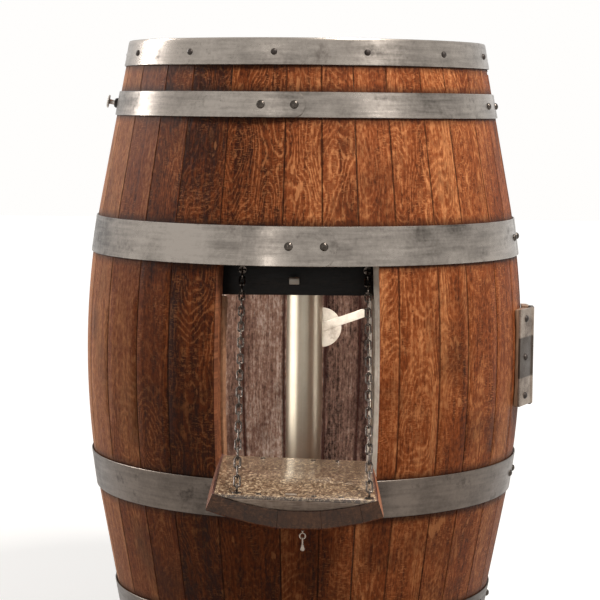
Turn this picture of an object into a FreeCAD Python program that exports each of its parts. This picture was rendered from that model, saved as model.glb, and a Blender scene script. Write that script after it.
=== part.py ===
"""Barrel bar cabinet: a staved oak barrel with a chained drop flap at the front and a side door.

Millimetres, +Z up, front towards -Y.  The origin is the point on the floor under the barrel's axis.
Azimuths are degrees from the front (-Y) towards the right (+X).
The flap and its fittings are drawn closed and then turned about the hatch hinge to hang open.
Large round pieces are lathed in short flats, so facet_angle and bend_steps set how fine they are.
"""
import FreeCAD
import Part
import math
import os

V = FreeCAD.Vector
UP = V(0, 0, 1)
RIGHT = V(1, 0, 0)
BACK = V(0, 1, 0)

# barrel
barrel_height = 914.0
bilge_radius = 328.5
head_radius = 264.0
bend_half_length = 230.0
stave_thickness = 23.0
seam_gap = 0.4
fit_gap = 0.3
facet_angle = 7.5
bend_steps = 5

# stave joints, in order round the barrel
left_seams = (-87.0, -73.5, -59.7, -46.2, -35.3, -22.2)
hatch_seams = (-22.2, -5.8, 4.2, 13.5)
notched_seams = (13.5, 23.6)
right_seams = (23.6, 35.2, 44.9, 57.6, 68.4, 78.5)
door_seams = (78.5, 91.0, 103.5, 114.5, 127.0, 139.0, 150.5)
back_seams = (150.5, 162.5, 173.5, 186.5, 199.5, 212.0, 224.5, 236.5, 249.0, 261.0, 273.0)

# heads
top_thickness = 22.0
top_recess = 2.0
top_ledge = 8.0
bottom_thickness = 18.0
croze_depth = 6.0
croze_height = 52.0
head_board_count = 5
board_gap = 0.6

# hoops
hoop_thickness = 2.0
head_hoop_width = 33.0
head_hoop_inset = 2.0
head_hoop_lip = 7.0
quarter_hoop_inset = 72.0
quarter_hoop_width = 35.0
bilge_hoop_inset = 254.4
bilge_hoop_width = 54.0
lap_before = 12.0
lap_after = 3.0

# studs: radius, height
nail_radius, nail_height = 4.6, 3.2
rivet_radius, rivet_height = 6.0, 3.4
bolt_radius, bolt_height = 5.2, 4.0
stud_tip = 0.5
stud_sides = 6
nail_count = 13
first_nail = -9.7
quarter_rivets = (-12.8, -3.4)
bilge_rivets = (-4.1, 4.6)
lower_rivets = (199.0, 208.0)
quarter_bolt_offsets = (9.1, 3.9)
bilge_bolt_offsets = (2.7, 5.5)

# hatch
hatch_right = 18.4
hatch_side_gap = 2.0
hatch_bottom_gap = 2.0
hatch_top_gap = 8.0
open_angle = 90.0
cleat_depth = 24.0
rear_cleat_lift = 6.0
cleat_screw_radius, cleat_screw_height = 3.6, 1.4
cleat_screw_azimuths = (-10.5, 2.6, 9.0)
lining_thickness = 4.0

# hatch hinges
hatch_knuckle_radius = 4.3
hatch_pin_radius = 1.7
pin_clearance = 0.05
hatch_leaf_width = 26.0
hatch_leaf_length = 32.0
hatch_leaf_thickness = 2.0
hatch_hinge_spacing = 66.0
hatch_pivot_drop = 9.4
knuckle_gap = 0.4

# chains
link_wire = 2.6
link_width = 9.6
link_play = 0.4
links_per_chain = 26
link_sides = 4
link_bends = 3
chain_margin = 12.4
upper_eye_splay = 5.6
upper_eye_reach = 7.0
upper_eye_drop = 10.5
lower_eye_inset = 13.0
lower_eye_reach = 7.0
eye_radius = 4.2
eye_wire = 2.6
eye_plate_radius = 6.0
eye_plate_thickness = 1.2
ring_bends = 8

# pull
pull_inset = 9.0
pull_reach = 7.0
pull_ring_radius = 3.6
pull_wire = 1.7
pull_loop_length, pull_loop_width = 8.5, 5.4
pull_drop_length = 8.5
pull_drop_radius = 2.6
pull_play = 0.2

# inside
floor_drop = 73.4
shelf_thickness = 18.0
shelf_gap = 5.0
ceiling_rise = 6.4
header_inset = 49.5
header_thickness = 18.0
header_drop = 52.0
strip_width = 20.0
strip_depth = 12.0
strip_lap = 3.0
block_width, block_depth, block_height = 44.0, 20.0, 26.0
block_azimuths = (-128.0, -48.0, 48.0, 170.0)
post_radius = 27.0
post_wall = 2.0
post_sides = 24
flange_radius = 42.0
flange_thickness = 3.0
plate_radius = 30.5
plate_thickness = 3.0
plate_drop = 126.5
plate_offset = 26.0
boss_offset, boss_width = 16.0, 9.0
arm_width = 13.0
arm_thickness = 3.0
arm_length = 66.0
arm_slope = 19.5
catch_width, catch_height = 14.0, 8.0
catch_offset, catch_drop = -14.8, 16.1
catch_gap = 0.5
strike_thickness = 1.2

# side hinge
side_leaf_height = 143.0
side_leaf_width = 54.0
side_leaf_thickness = 3.0
side_leaf_rise = 3.2
side_knuckle_radius = 5.0
side_pin_radius = 2.4
side_pivot_reach = 13.5
side_pivot_offset = 7.0
side_knuckle_share = 0.40
side_bolt_rise = 57.0
side_bolt_share = 0.56
side_pin_head = 2.5
knuckle_sides = 12
leaf_edge_height = 4.0

# side door
door_gap = 3.0
door_bottom = 67.0
door_top_inset = 42.0
low_batten_rise, high_batten_drop = 83.0, 172.0
batten_height = 60.0
batten_depth = 26.0
batten_margin = 12.0
door_catch_depth, door_catch_length, door_catch_height = 14.0, 34.0, 30.0

# knobs
knob_base_radius, knob_base_height = 7.5, 4.5
knob_stem_radius, knob_stem_length = 3.6, 7.5
knob_head_radius, knob_head_height = 9.8, 3.5
knob_sides = 12
left_knob_azimuth = -88.5
door_knob_azimuth = 145.0
door_knob_drop = 45.6

mid_height = barrel_height / 2
hatch_bottom = bilge_hoop_inset + bilge_hoop_width
hatch_top = barrel_height - hatch_bottom
floor_top = hatch_bottom - floor_drop
ceiling_underside = hatch_top + ceiling_rise
plate_height = ceiling_underside - plate_drop
door_top = barrel_height - door_top_inset


def bend_angle():
    """Angle of the straight stave ends, for a bend tangent to both of them."""
    low, high = 0.0, math.radians(60)
    for _ in range(60):
        angle = (low + high) / 2
        fall = (bend_half_length * math.tan(angle / 2)
                + (mid_height - bend_half_length) * math.tan(angle))
        if fall < bilge_radius - head_radius:
            low = angle
        else:
            high = angle
    return (low + high) / 2


bend_radius = bend_half_length / math.sin(bend_angle())
bend_step = 2 * bend_half_length / bend_steps
bend_levels = [mid_height - bend_half_length + bend_step * index for index in range(bend_steps + 1)]


def bend_corner(z):
    """Radius of the barrel where two straight lengths of its side meet; their middles touch the bend."""
    fall = bend_radius - math.sqrt(bend_radius**2 - (z - mid_height)**2)
    return bilge_radius - fall + bend_step**2 / (8 * bend_radius)


side_corners = ([(0.0, head_radius)] + [(z, bend_corner(z)) for z in bend_levels]
                + [(barrel_height, head_radius)])


def outer_radius(z):
    """Radius of the barrel's outside at height z."""
    spans = list(zip(side_corners, side_corners[1:]))
    (low, low_radius), (high, high_radius) = next(
        (span for span in spans if z <= span[1][0]), spans[-1])
    return low_radius + (high_radius - low_radius) * (z - low) / (high - low)


def inner_radius(z):
    """Radius of the barrel's inside at height z."""
    return outer_radius(z) - stave_thickness


def at(azimuth, radius, z=0.0):
    """Point at an azimuth, a radius and a height."""
    turn = math.radians(azimuth)
    return V(radius * math.sin(turn), -radius * math.cos(turn), z)


def steps(*stops):
    """Azimuths from stop to stop, no further apart than the facet angle."""
    azimuths = [stops[0]]
    for start, end in zip(stops, stops[1:]):
        count = max(1, math.ceil((end - start) / facet_angle - 1e-6))
        azimuths += [start + (end - start) * (index + 1) / count for index in range(count)]
    return azimuths


full_turn = steps(0, 360)
flat_share = math.cos(math.radians(facet_angle / 2))


def closed_solid(faces):
    """Solid inside a closed set of faces."""
    shell = Part.Shell(faces)
    shell.sewShape()
    solid = Part.Solid(shell)
    if solid.Volume < 0:
        solid.reverse()
    return solid


def lathe(outline, azimuths):
    """Solid swept about the Z axis by an outline of (radius, z) points, with a flat per azimuth step."""
    closed = abs(azimuths[-1] - azimuths[0] - 360) < 1e-6
    sections = [[at(azimuth, radius, z) for radius, z in outline] for azimuth in azimuths]
    if closed:
        sections[-1] = sections[0]
    faces = []
    for near, far in zip(sections, sections[1:]):
        for index in range(len(outline)):
            after = (index + 1) % len(outline)
            corners = []
            for point in (near[index], near[after], far[after], far[index]):
                if not any(point.isEqual(other, 1e-6) for other in corners):
                    corners.append(point)
            if len(corners) > 2:
                faces.append(Part.Face(Part.makePolygon(corners + corners[:1])))
    if not closed:
        for section in (sections[0], sections[-1]):
            faces.append(Part.Face(Part.makePolygon(section + section[:1])))
    return closed_solid(faces)


def prism(points, depth):
    """Prism of a flat outline of points, pushed along a vector."""
    return Part.Face(Part.makePolygon(points + points[:1])).extrude(depth)


def side_line(offset, low, high):
    """Points down the barrel's side line between two heights, moved out by offset."""
    levels = [low] + [z for z in bend_levels if low < z < high] + [high]
    return [(outer_radius(z) + offset, z) for z in levels]


def slab(low, high):
    """Wide block between two heights."""
    reach = 3 * bilge_radius
    return Part.makeBox(2 * reach, 2 * reach, high - low, V(-reach, -reach, low))


def set_on(shape, seat, direction):
    """Stands a shape that was drawn upright at the origin on a seat, along a direction."""
    shape.Placement = FreeCAD.Placement(seat, FreeCAD.Rotation(UP, direction))
    return shape


def round_turn(sides):
    """Azimuths of a many-sided small round piece."""
    return [360.0 * (index + 0.5) / sides for index in range(sides + 1)]


def stud(seat, direction, radius, height, sides=stud_sides):
    """Many-sided stud that narrows towards its tip."""
    outline = [(0, 0), (radius, 0), (stud_tip * radius, height), (0, height)]
    return set_on(lathe(outline, round_turn(sides)), seat, direction)


def rod(seat, direction, radius, length, sides=knuckle_sides):
    """Many-sided rod from a seat along a direction."""
    outline = [(0, 0), (radius, 0), (radius, length), (0, length)]
    return set_on(lathe(outline, round_turn(sides)).removeSplitter(), seat, direction)


def write(name, pieces):
    """Save a node as parts/NAME.step."""
    shape = Part.makeCompound(pieces) if len(pieces) > 1 else pieces[0]
    shape.exportStep("parts/%s.step" % name)
    print(name, len(shape.Solids), "solids", "valid" if shape.isValid() else "INVALID")


# staves and heads

ledge_height = barrel_height - top_recess - top_thickness
rebate_radius = inner_radius(ledge_height) + top_ledge
croze_low = croze_height - bottom_thickness / 2
croze_high = croze_height + bottom_thickness / 2

stave_outline = (side_line(0, 0, barrel_height)
                 + [(rebate_radius, barrel_height), (rebate_radius, ledge_height)]
                 + side_line(-stave_thickness, croze_high, ledge_height)[::-1]
                 + [(inner_radius(croze_height) + croze_depth, croze_height),
                    (inner_radius(croze_low), croze_low), (inner_radius(0), 0)])

half_seam = math.degrees(seam_gap / 2 / bilge_radius)
half_door_gap = math.degrees(door_gap / 2 / bilge_radius)
side_gap_angle = math.degrees(hatch_side_gap / bilge_radius)
hatch_left = hatch_seams[0]
door_start, door_end = door_seams[0], door_seams[-1]


def wall_steps(rows):
    """Corners of the wall's flats along rows of stave joints that follow each other."""
    azimuths = [rows[0][0]]
    for row in rows:
        for start, end in zip(row, row[1:]):
            turn = azimuths[-1] - start
            azimuths += [azimuth + turn for azimuth in steps(start, end)[1:]]
    return azimuths


def staves(seams, start_gap=half_seam, end_gap=half_seam):
    """The staves between a row of joints, with the gap at either end in degrees."""
    pieces = []
    for index, (start, end) in enumerate(zip(seams, seams[1:])):
        first = start + (start_gap if index == 0 else half_seam)
        last = end - (end_gap if index == len(seams) - 2 else half_seam)
        pieces.append(lathe(stave_outline, steps(first, last)))
    return pieces


def boards(disc, radius):
    """A disc cut into parallel boards."""
    width = 2 * radius / head_board_count
    pieces = []
    for index in range(head_board_count):
        left = -radius + index * width
        strip = Part.makeBox(width - board_gap, 2 * radius + 2, barrel_height,
                             V(left + board_gap / 2, -radius - 1, 0))
        pieces.append(disc.common(strip))
    return pieces


def top_disc():
    """The top before it is cut into boards."""
    radius = rebate_radius * flat_share - fit_gap
    high = ledge_height + top_thickness
    return lathe([(0, ledge_height), (radius, ledge_height), (radius, high), (0, high)],
                 full_turn).removeSplitter()


def bottom_disc():
    """The bottom head, with the bevelled rim that sits in the croze."""
    rim_low = inner_radius(croze_low) * flat_share - 2 * fit_gap
    rim_high = inner_radius(croze_high) * flat_share - 2 * fit_gap
    tip = (inner_radius(croze_height) + croze_depth) * flat_share - 2 * fit_gap
    return lathe([(0, croze_low), (rim_low, croze_low), (tip, croze_height),
                  (rim_high, croze_high), (0, croze_high)], full_turn).removeSplitter()


def save_staves():
    """Staves, cut short round the hatch and the side door."""
    write("staves_left", staves(left_seams))
    write("staves_right", staves(right_seams, half_seam, half_door_gap))
    write("staves_back", staves(back_seams, half_door_gap, half_seam))

    notch = lathe([(0, hatch_bottom), (2 * bilge_radius, hatch_bottom),
                   (2 * bilge_radius, hatch_top), (0, hatch_top)], steps(hatch_left, hatch_right))
    write("stave_notched", [staves(notched_seams)[0].cut(notch)])
    above_hatch = slab(hatch_top, barrel_height + 1)
    below_hatch = slab(-1, hatch_bottom)
    write("staves_above_hatch", [piece.common(above_hatch) for piece in staves(hatch_seams)])
    write("staves_below_hatch", [piece.common(below_hatch) for piece in staves(hatch_seams)])

    above_door = slab(door_top + door_gap, barrel_height + 1)
    below_door = slab(-1, door_bottom - door_gap)
    write("staves_above_door", [piece.common(above_door) for piece in staves(door_seams)])
    write("staves_below_door", [piece.common(below_door) for piece in staves(door_seams)])
    write("top_boards", boards(top_disc(), rebate_radius))
    write("bottom_boards", boards(bottom_disc(), rebate_radius))


# hoops and studs

def span(inset, width, upper):
    """Lower and upper height of a hoop, from its distance to the nearer end."""
    if upper:
        return barrel_height - inset - width, barrel_height - inset
    return inset, inset + width


head_upper = span(head_hoop_inset, head_hoop_width, True)
head_lower = span(head_hoop_inset, head_hoop_width, False)
quarter_upper = span(quarter_hoop_inset, quarter_hoop_width, True)
bilge_upper = span(bilge_hoop_inset, bilge_hoop_width, True)
bilge_lower = span(bilge_hoop_inset, bilge_hoop_width, False)
quarter_lower = span(quarter_hoop_inset, quarter_hoop_width, False)
cut_hoops = {"quarter_hoop_upper": (quarter_upper, quarter_rivets, quarter_bolt_offsets),
             "bilge_hoop_upper": (bilge_upper, bilge_rivets, bilge_bolt_offsets),
             "bilge_hoop_lower": (bilge_lower, lower_rivets, bilge_bolt_offsets),
             "quarter_hoop_lower": (quarter_lower, lower_rivets, quarter_bolt_offsets)}


def hoop_radii(low, high, layer=0):
    """Radii of a hoop's inside at its lower and upper edge; it stays clear of the wall between them."""
    line = side_line(fit_gap + layer * hoop_thickness, low, high)
    start, end = line[0][0], line[-1][0]
    bulge = max(radius - start - (end - start) * (z - low) / (high - low) for radius, z in line)
    return start + bulge, end + bulge


def hoop_outline(low, high, layer=0):
    """Section of a hoop on the given layer of steel."""
    near_low, near_high = hoop_radii(low, high, layer)
    return [(near_low, low), (near_low + hoop_thickness, low),
            (near_high + hoop_thickness, high), (near_high, high)]


def trimmed(azimuths):
    """Corners of a hoop that stops short of the gaps at either side of the door."""
    return [azimuths[0] + half_door_gap] + azimuths[1:-1] + [azimuths[-1] - half_door_gap]


wall = wall_steps([back_seams, left_seams, hatch_seams, notched_seams, right_seams, door_seams])
frame_wall = trimmed(wall_steps([back_seams, left_seams, hatch_seams, notched_seams, right_seams]))
door_wall = trimmed(wall_steps([door_seams]))


def on_wall(azimuth):
    """The azimuth, a full turn on where the frame's hoops need it."""
    return azimuth + 360 if azimuth < frame_wall[0] else azimuth


def cut_hoop(levels, rivets):
    """Hoop round the frame, doubled from corner to corner where its riveted lap is."""
    first, last = [min(frame_wall, key=lambda corner: abs(corner - on_wall(azimuth)))
                   for azimuth in (rivets[0] - lap_before, rivets[1] + lap_after)]
    doubled = [azimuth for azimuth in frame_wall if first <= azimuth <= last]
    ring = lathe(hoop_outline(*levels), frame_wall)
    return ring.fuse(lathe(hoop_outline(*levels, 1), doubled)).removeSplitter()


def lipped_hoop():
    """Head hoop at the top, whose upper edge is turned in over the stave ends."""
    low, high = head_upper
    near_low, near_high = hoop_radii(low, barrel_height)
    seat = barrel_height + fit_gap
    return lathe([(near_low, low), (near_low + hoop_thickness, low),
                  (near_high + hoop_thickness, high), (near_high, seat + hoop_thickness),
                  (near_high - head_hoop_lip, seat + hoop_thickness),
                  (near_high - head_hoop_lip, seat), (near_high, seat)], wall)


def stud_on(azimuths, levels, azimuth, radius, height, layer=0):
    """Stud in the middle of a hoop's width, square to the flat that it stands on."""
    start, end = [(a, b) for a, b in zip(azimuths, azimuths[1:]) if a <= azimuth <= b][0]
    middle = (start + end) / 2
    low, high = levels
    near_low, near_high = hoop_radii(low, high, layer)
    share = math.cos(math.radians((end - start) / 2))
    face = ((near_low + near_high) / 2 + hoop_thickness) * share
    fall = math.atan2((near_low - near_high) * share, high - low)
    seat = at(azimuth, face / math.cos(math.radians(azimuth - middle)), (low + high) / 2)
    return stud(seat, at(middle, math.cos(fall), math.sin(fall)), radius, height)


def knob(azimuth, level, stand_off):
    """Mushroom knob: base, stem and head on one axis square to the barrel's side."""
    fall = math.atan2(outer_radius(level - 1) - outer_radius(level + 1), 2)
    shoulder = knob_base_height + knob_stem_length
    top = shoulder + knob_head_height
    outline = [(0, 0), (knob_base_radius, 0), (knob_stem_radius, knob_base_height),
               (knob_stem_radius, shoulder), (knob_head_radius, shoulder),
               (stud_tip * knob_head_radius, top), (0, top)]
    seat = at(azimuth, outer_radius(level) + stand_off, level)
    return set_on(lathe(outline, round_turn(knob_sides)), seat,
                  at(azimuth, math.cos(fall), math.sin(fall)))


def save_hoops():
    """Hoops, with the studs that hold them."""
    write("head_hoop_upper", [lipped_hoop()])
    write("head_hoop_lower", [lathe(hoop_outline(*head_lower), wall)])
    nail_azimuths = [first_nail + 360.0 * index / nail_count for index in range(nail_count)]
    write("head_nails", [stud_on(wall, levels, on_wall(azimuth), nail_radius, nail_height)
                         for levels in ((head_upper[0], barrel_height), head_lower)
                         for azimuth in nail_azimuths])
    rivets, frame_bolts, door_bolts, door_hoops = [], [], [], []
    for name, (levels, lap, (before, after)) in cut_hoops.items():
        write(name, [cut_hoop(levels, lap)])
        rivets += [stud_on(frame_wall, levels, on_wall(azimuth), rivet_radius, rivet_height, 1)
                   for azimuth in lap]
        frame_bolts += [stud_on(frame_wall, levels, on_wall(azimuth), bolt_radius, bolt_height)
                        for azimuth in (door_end + after, door_start - before)]
        door_bolts += [stud_on(door_wall, levels, azimuth, bolt_radius, bolt_height)
                       for azimuth in (door_start + after, door_end - before)]
        door_hoops.append(lathe(hoop_outline(*levels), door_wall))
    write("hoop_rivets", rivets)
    write("hoop_bolts", frame_bolts)
    write("door_bolts", door_bolts)
    write("door_hoops", door_hoops)
    stand_off = sum(hoop_radii(*quarter_upper)) / 2 + hoop_thickness - outer_radius(sum(quarter_upper) / 2)
    write("left_knob", [knob(left_knob_azimuth, sum(quarter_upper) / 2, stand_off)])


# inside

header_front = header_inset - inner_radius(hatch_top)
inner_skin = -stave_thickness - fit_gap
room = lathe([(0, 0)] + side_line(inner_skin, 0, barrel_height) + [(0, barrel_height)], wall)


def shelf(low):
    """Round shelf that clears the wall at its narrow edge."""
    high = low + shelf_thickness
    radius = min(inner_radius(low), inner_radius(high)) - shelf_gap
    return lathe([(0, low), (radius, low), (radius, high), (0, high)], full_turn)


def shelf_block(azimuth, top):
    """Block on the wall that carries a shelf."""
    block = Part.makeBox(block_width, 2 * block_depth, block_height,
                         V(-block_width / 2, -inner_radius(top) - block_depth, top - block_height))
    block.rotate(V(0, 0, 0), UP, azimuth)
    return block.common(room)


def jamb_strip(start, end):
    """Thin strip on the staves' inner face beside the hatch, from the floor to the header."""
    top = ceiling_underside - header_drop
    outline = (side_line(inner_skin, floor_top, top)
               + side_line(inner_skin - strip_depth, floor_top, top)[::-1])
    return lathe([(radius * flat_share, z) for radius, z in outline], steps(start, end))


def save_inside():
    """Shelves, header, jamb strips, post and what the post carries."""
    floor_low = floor_top - shelf_thickness
    write("floor_board", [shelf(floor_low)])
    write("ceiling_board", [shelf(ceiling_underside)])
    write("shelf_blocks", [shelf_block(azimuth, top) for azimuth in block_azimuths
                           for top in (floor_low, ceiling_underside)])
    header = Part.makeBox(2 * bilge_radius, header_thickness, header_drop,
                          V(-bilge_radius, header_front, ceiling_underside - header_drop))
    write("header_board", [header.common(room)])
    strip_angle = math.degrees(strip_width / inner_radius(mid_height))
    lap_angle = math.degrees(strip_lap / inner_radius(mid_height))
    write("jamb_strips", [jamb_strip(hatch_left - strip_angle, hatch_left + lap_angle),
                          jamb_strip(hatch_right - lap_angle, hatch_right + strip_angle)])

    low, high = floor_top + flange_thickness, ceiling_underside - flange_thickness
    inside = post_radius - post_wall
    post_turn = round_turn(post_sides)
    write("post", [lathe([(inside, low), (post_radius, low), (post_radius, high), (inside, high)],
                         post_turn)])
    write("post_flanges", [lathe([(0, z), (flange_radius, z), (flange_radius, z + flange_thickness),
                                  (0, z + flange_thickness)], post_turn)
                           for z in (floor_top, high)])

    seat = V(plate_offset, post_radius, plate_height)
    disc = lathe([(0, 0), (plate_radius, 0), (plate_radius, plate_thickness), (0, plate_thickness)],
                 post_turn)
    plate = set_on(disc, seat + BACK * arm_thickness, BACK)
    half = arm_width / 2
    boss = Part.makeBox(boss_width, post_radius, arm_width, V(boss_offset, 0, plate_height - half))
    post_core = lathe([(0, 0), (post_radius, 0), (post_radius, barrel_height), (0, barrel_height)],
                      post_turn)
    write("post_plate", [plate, boss.cut(post_core)])
    ends = [(0, 90 + 180.0 * index / stud_sides) for index in range(stud_sides + 1)]
    ends += [(arm_length, -90 + 180.0 * index / stud_sides) for index in range(stud_sides + 1)]
    slope = math.radians(arm_slope)
    along, across = V(math.cos(slope), 0, math.sin(slope)), V(-math.sin(slope), 0, math.cos(slope))
    rim = [seat + along * (reach + half * math.cos(math.radians(turn)))
           + across * (half * math.sin(math.radians(turn))) for reach, turn in ends]
    write("post_arm", [prism(rim, BACK * arm_thickness)])


# drop flap

pivot_z = hatch_bottom - hatch_pivot_drop
pivot_y = -(outer_radius(hatch_bottom + hatch_leaf_length) + hatch_knuckle_radius)
pivot = V(0, pivot_y, pivot_z)
flap_bottom = hatch_bottom + hatch_bottom_gap
flap_top = hatch_top - hatch_top_gap
flap_seams = hatch_seams + (hatch_right,)
front_cleat_low = flap_top - cleat_depth
rear_cleat_low = flap_bottom + rear_cleat_lift


def opened(shape):
    """A flap piece drawn closed, turned to where it hangs open."""
    piece = shape.copy()
    piece.rotate(pivot, RIGHT, open_angle)
    return piece


def opened_point(point):
    """A point of the closed flap, where it lies when the flap is open."""
    turn = math.radians(open_angle)
    dy, dz = point.y - pivot.y, point.z - pivot.z
    return V(point.x, pivot.y + dy * math.cos(turn) - dz * math.sin(turn),
             pivot.z + dy * math.sin(turn) + dz * math.cos(turn))


def cleat_rim(low):
    """Points of a cleat's round side at its lower edge; its narrower end sets their radius."""
    radius = min(inner_radius(low), inner_radius(low + cleat_depth)) * flat_share - fit_gap
    return [at(azimuth, radius, low)
            for azimuth in steps(hatch_left + 2 * side_gap_angle, hatch_right - 2 * side_gap_angle)]


def on_flat(low, x, z):
    """Point on a cleat's flat."""
    left, right = cleat_rim(low)[0], cleat_rim(low)[-1]
    return V(x, left.y + (right.y - left.y) * (x - left.x) / (right.x - left.x), z)


chord = (cleat_rim(front_cleat_low)[-1] - cleat_rim(front_cleat_low)[0]).normalize()
inward = UP.cross(chord)


def cleat_screws(low):
    """Screw heads on the flat of a cleat."""
    level = low + cleat_depth / 2
    return [stud(on_flat(low, at(azimuth, inner_radius(level)).x, level), inward,
                 cleat_screw_radius, cleat_screw_height) for azimuth in cleat_screw_azimuths]


def flap_lining():
    """Flat board let into the cleats, level with their flats."""
    rise = UP * (flap_top - rear_cleat_low)
    rim = [point - UP * (front_cleat_low - rear_cleat_low) for point in cleat_rim(front_cleat_low)]
    depth = inward * lining_thickness
    left, right = rim[0] - chord * bilge_radius, rim[-1] + chord * bilge_radius
    return prism(rim, rise).common(prism([left, right, right - depth, left - depth], rise))


skin = lathe([(0, 0)] + side_line(fit_gap, 0, barrel_height) + [(0, barrel_height)], wall)


def foremost(shape):
    """The solid of a shape that lies furthest towards the front."""
    return min(shape.Solids, key=lambda piece: piece.CenterOfMass.y)


def hatch_hinge(middle):
    """Fixed leaf, moving leaf and pin of one hatch hinge, drawn closed, centred at x = middle."""
    left = middle - hatch_leaf_width / 2
    third = hatch_leaf_width / 3
    radius = hatch_knuckle_radius
    clear = radius + knuckle_gap
    front = pivot.y + radius - hatch_leaf_thickness
    depth = stave_thickness
    knuckle = third - knuckle_gap / 2
    centre = V(left, pivot.y, pivot.z)
    hole = Part.makeCylinder(hatch_pin_radius + pin_clearance, hatch_leaf_width + 2,
                             centre - RIGHT, RIGHT)

    low_radius, high_radius = [value + hoop_thickness for value in hoop_radii(*bilge_lower)]
    core = lathe([(0, bilge_lower[0]), (low_radius, bilge_lower[0]), (high_radius, bilge_lower[1]),
                  (0, bilge_lower[1])], wall)
    plate = Part.makeBox(hatch_leaf_width, depth, hatch_leaf_length - clear,
                         V(left, front, pivot.z - hatch_leaf_length))
    fixed = foremost(plate.cut(core).cut(skin))
    for start in (0, hatch_leaf_width - knuckle):
        web = Part.makeBox(knuckle, hatch_leaf_thickness / 2, clear,
                           V(left + start, front, pivot.z - clear))
        fixed = fixed.fuse(web).fuse(rod(centre + RIGHT * start, RIGHT, radius, knuckle))
    fixed = fixed.cut(hole)

    plate_low = max(pivot.z + clear, flap_bottom)
    plate = Part.makeBox(hatch_leaf_width, depth, pivot.z + hatch_leaf_length + clear - plate_low,
                         V(left, front, plate_low))
    moving = foremost(plate.cut(skin))
    inset = third + knuckle_gap / 2
    tongue = Part.makeBox(third - knuckle_gap, hatch_leaf_thickness, plate_low - pivot.z,
                          V(left + inset, front, pivot.z))
    middle_knuckle = rod(centre + RIGHT * inset, RIGHT, radius, third - knuckle_gap)
    moving = moving.fuse(tongue).fuse(middle_knuckle).cut(hole)
    pin = Part.makeCylinder(hatch_pin_radius, hatch_leaf_width + 1, centre - RIGHT * 0.5, RIGHT)
    return fixed, moving, pin


def save_flap():
    """Drop flap with its cleats, hinges and catch."""
    between = slab(flap_bottom, flap_top)
    panels = staves(flap_seams, side_gap_angle, side_gap_angle)
    write("flap_staves", [opened(panel.common(between)) for panel in panels])
    lining = flap_lining()
    write("flap_lining", [opened(lining)])
    for name, low in (("flap_front_cleat", front_cleat_low), ("flap_rear_cleat", rear_cleat_low)):
        write(name, [opened(prism(cleat_rim(low), UP * cleat_depth).cut(lining))])
    screws = cleat_screws(front_cleat_low) + cleat_screws(rear_cleat_low)
    write("cleat_screws", [opened(screw) for screw in screws])

    left_hinge = hatch_hinge(-hatch_hinge_spacing / 2)
    right_hinge = hatch_hinge(hatch_hinge_spacing / 2)
    write("hatch_fixed_leaves", [left_hinge[0], right_hinge[0]])
    write("hatch_moving_leaves", [opened(left_hinge[1]), opened(right_hinge[1])])
    write("hatch_pins", [left_hinge[2], right_hinge[2]])

    middle = on_flat(front_cleat_low, catch_offset, flap_top - catch_drop - catch_height / 2)
    left, right = middle - chord * (catch_width / 2), middle + chord * (catch_width / 2)
    depth = inward * strike_thickness
    strike = prism([left, right, right + depth, left + depth], UP * catch_height)
    write("flap_strike", [opened(strike)])
    catch_front = (left + depth).y + catch_gap
    write("flap_catch", [Part.makeBox(catch_width, header_front - catch_front, catch_height,
                                      V(catch_offset - catch_width / 2, catch_front, middle.z))])


# chains, eyes and pull

def mitred_wire(points, radius, normal, sides=link_sides):
    """Closed wire loop through flat points, mitred at each, with a many-sided section."""
    up = V(normal).normalize()
    rings = []
    for index, point in enumerate(points):
        before = (point - points[index - 1]).normalize()
        after = (points[(index + 1) % len(points)] - point).normalize()
        tangent = (before + after).normalize()
        outward = tangent.cross(up)
        stretch = 1 / before.dot(tangent)
        turns = [2 * math.pi * (side + 0.5) / sides for side in range(sides)]
        rings.append([point + outward * (radius * math.cos(turn) * stretch)
                      + up * (radius * math.sin(turn)) for turn in turns])
    faces = []
    for near, far in zip(rings, rings[1:] + rings[:1]):
        for side in range(sides):
            after = (side + 1) % sides
            corners = [near[side], near[after], far[after], far[side]]
            faces.append(Part.Face(Part.makePolygon(corners + corners[:1])))
    return closed_solid(faces)


def oval(centre, along, across, length, width, bends=link_bends):
    """Points of a straight-sided oval with round ends."""
    radius = width / 2
    points = []
    for end in (1, -1):
        middle = centre + along * (end * (length / 2 - radius))
        for step in range(bends + 1):
            turn = math.pi * (step / bends - 0.5)
            points.append(middle + along * (end * radius * math.cos(turn))
                          + across * (end * radius * math.sin(turn)))
    return points


def chain(start, end, first, last):
    """Links first to last of a chain pulled straight between two eyes, each square to the next."""
    pitch = (end - start).Length / links_per_chain
    along = (end - start).normalize()
    flat = along.cross(RIGHT).normalize()
    sideways = flat.cross(along)
    length = pitch + link_wire + link_play
    links = []
    for index in range(first, last):
        centre = start + along * (pitch * (index + 0.5))
        across, normal = (sideways, flat) if index % 2 else (flat, sideways)
        links.append(mitred_wire(oval(centre, along, across, length, link_width - link_wire),
                                 link_wire / 2, normal))
    return links


def ring_points(centre, direction, sideways, radius):
    """Points round a ring whose sides lie at the radius."""
    turns = [2 * math.pi * (index + 0.5) / ring_bends for index in range(ring_bends)]
    corner = radius / math.cos(math.pi / ring_bends)
    return [centre + direction * (corner * math.cos(turn)) + sideways * (corner * math.sin(turn))
            for turn in turns]


def ring_eye(seat, direction, reach, normal):
    """Round plate, short stem and the wire ring that stands on it."""
    ring = mitred_wire(ring_points(seat + direction * reach, direction, direction.cross(normal),
                                   eye_radius), eye_wire / 2, normal)
    plate = lathe([(0, 0), (eye_plate_radius, 0), (eye_plate_radius, eye_plate_thickness),
                   (eye_wire / 2, eye_plate_thickness), (eye_wire / 2, reach - eye_radius),
                   (0, reach - eye_radius)], round_turn(stud_sides))
    return set_on(plate, seat, direction).fuse(ring)


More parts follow.
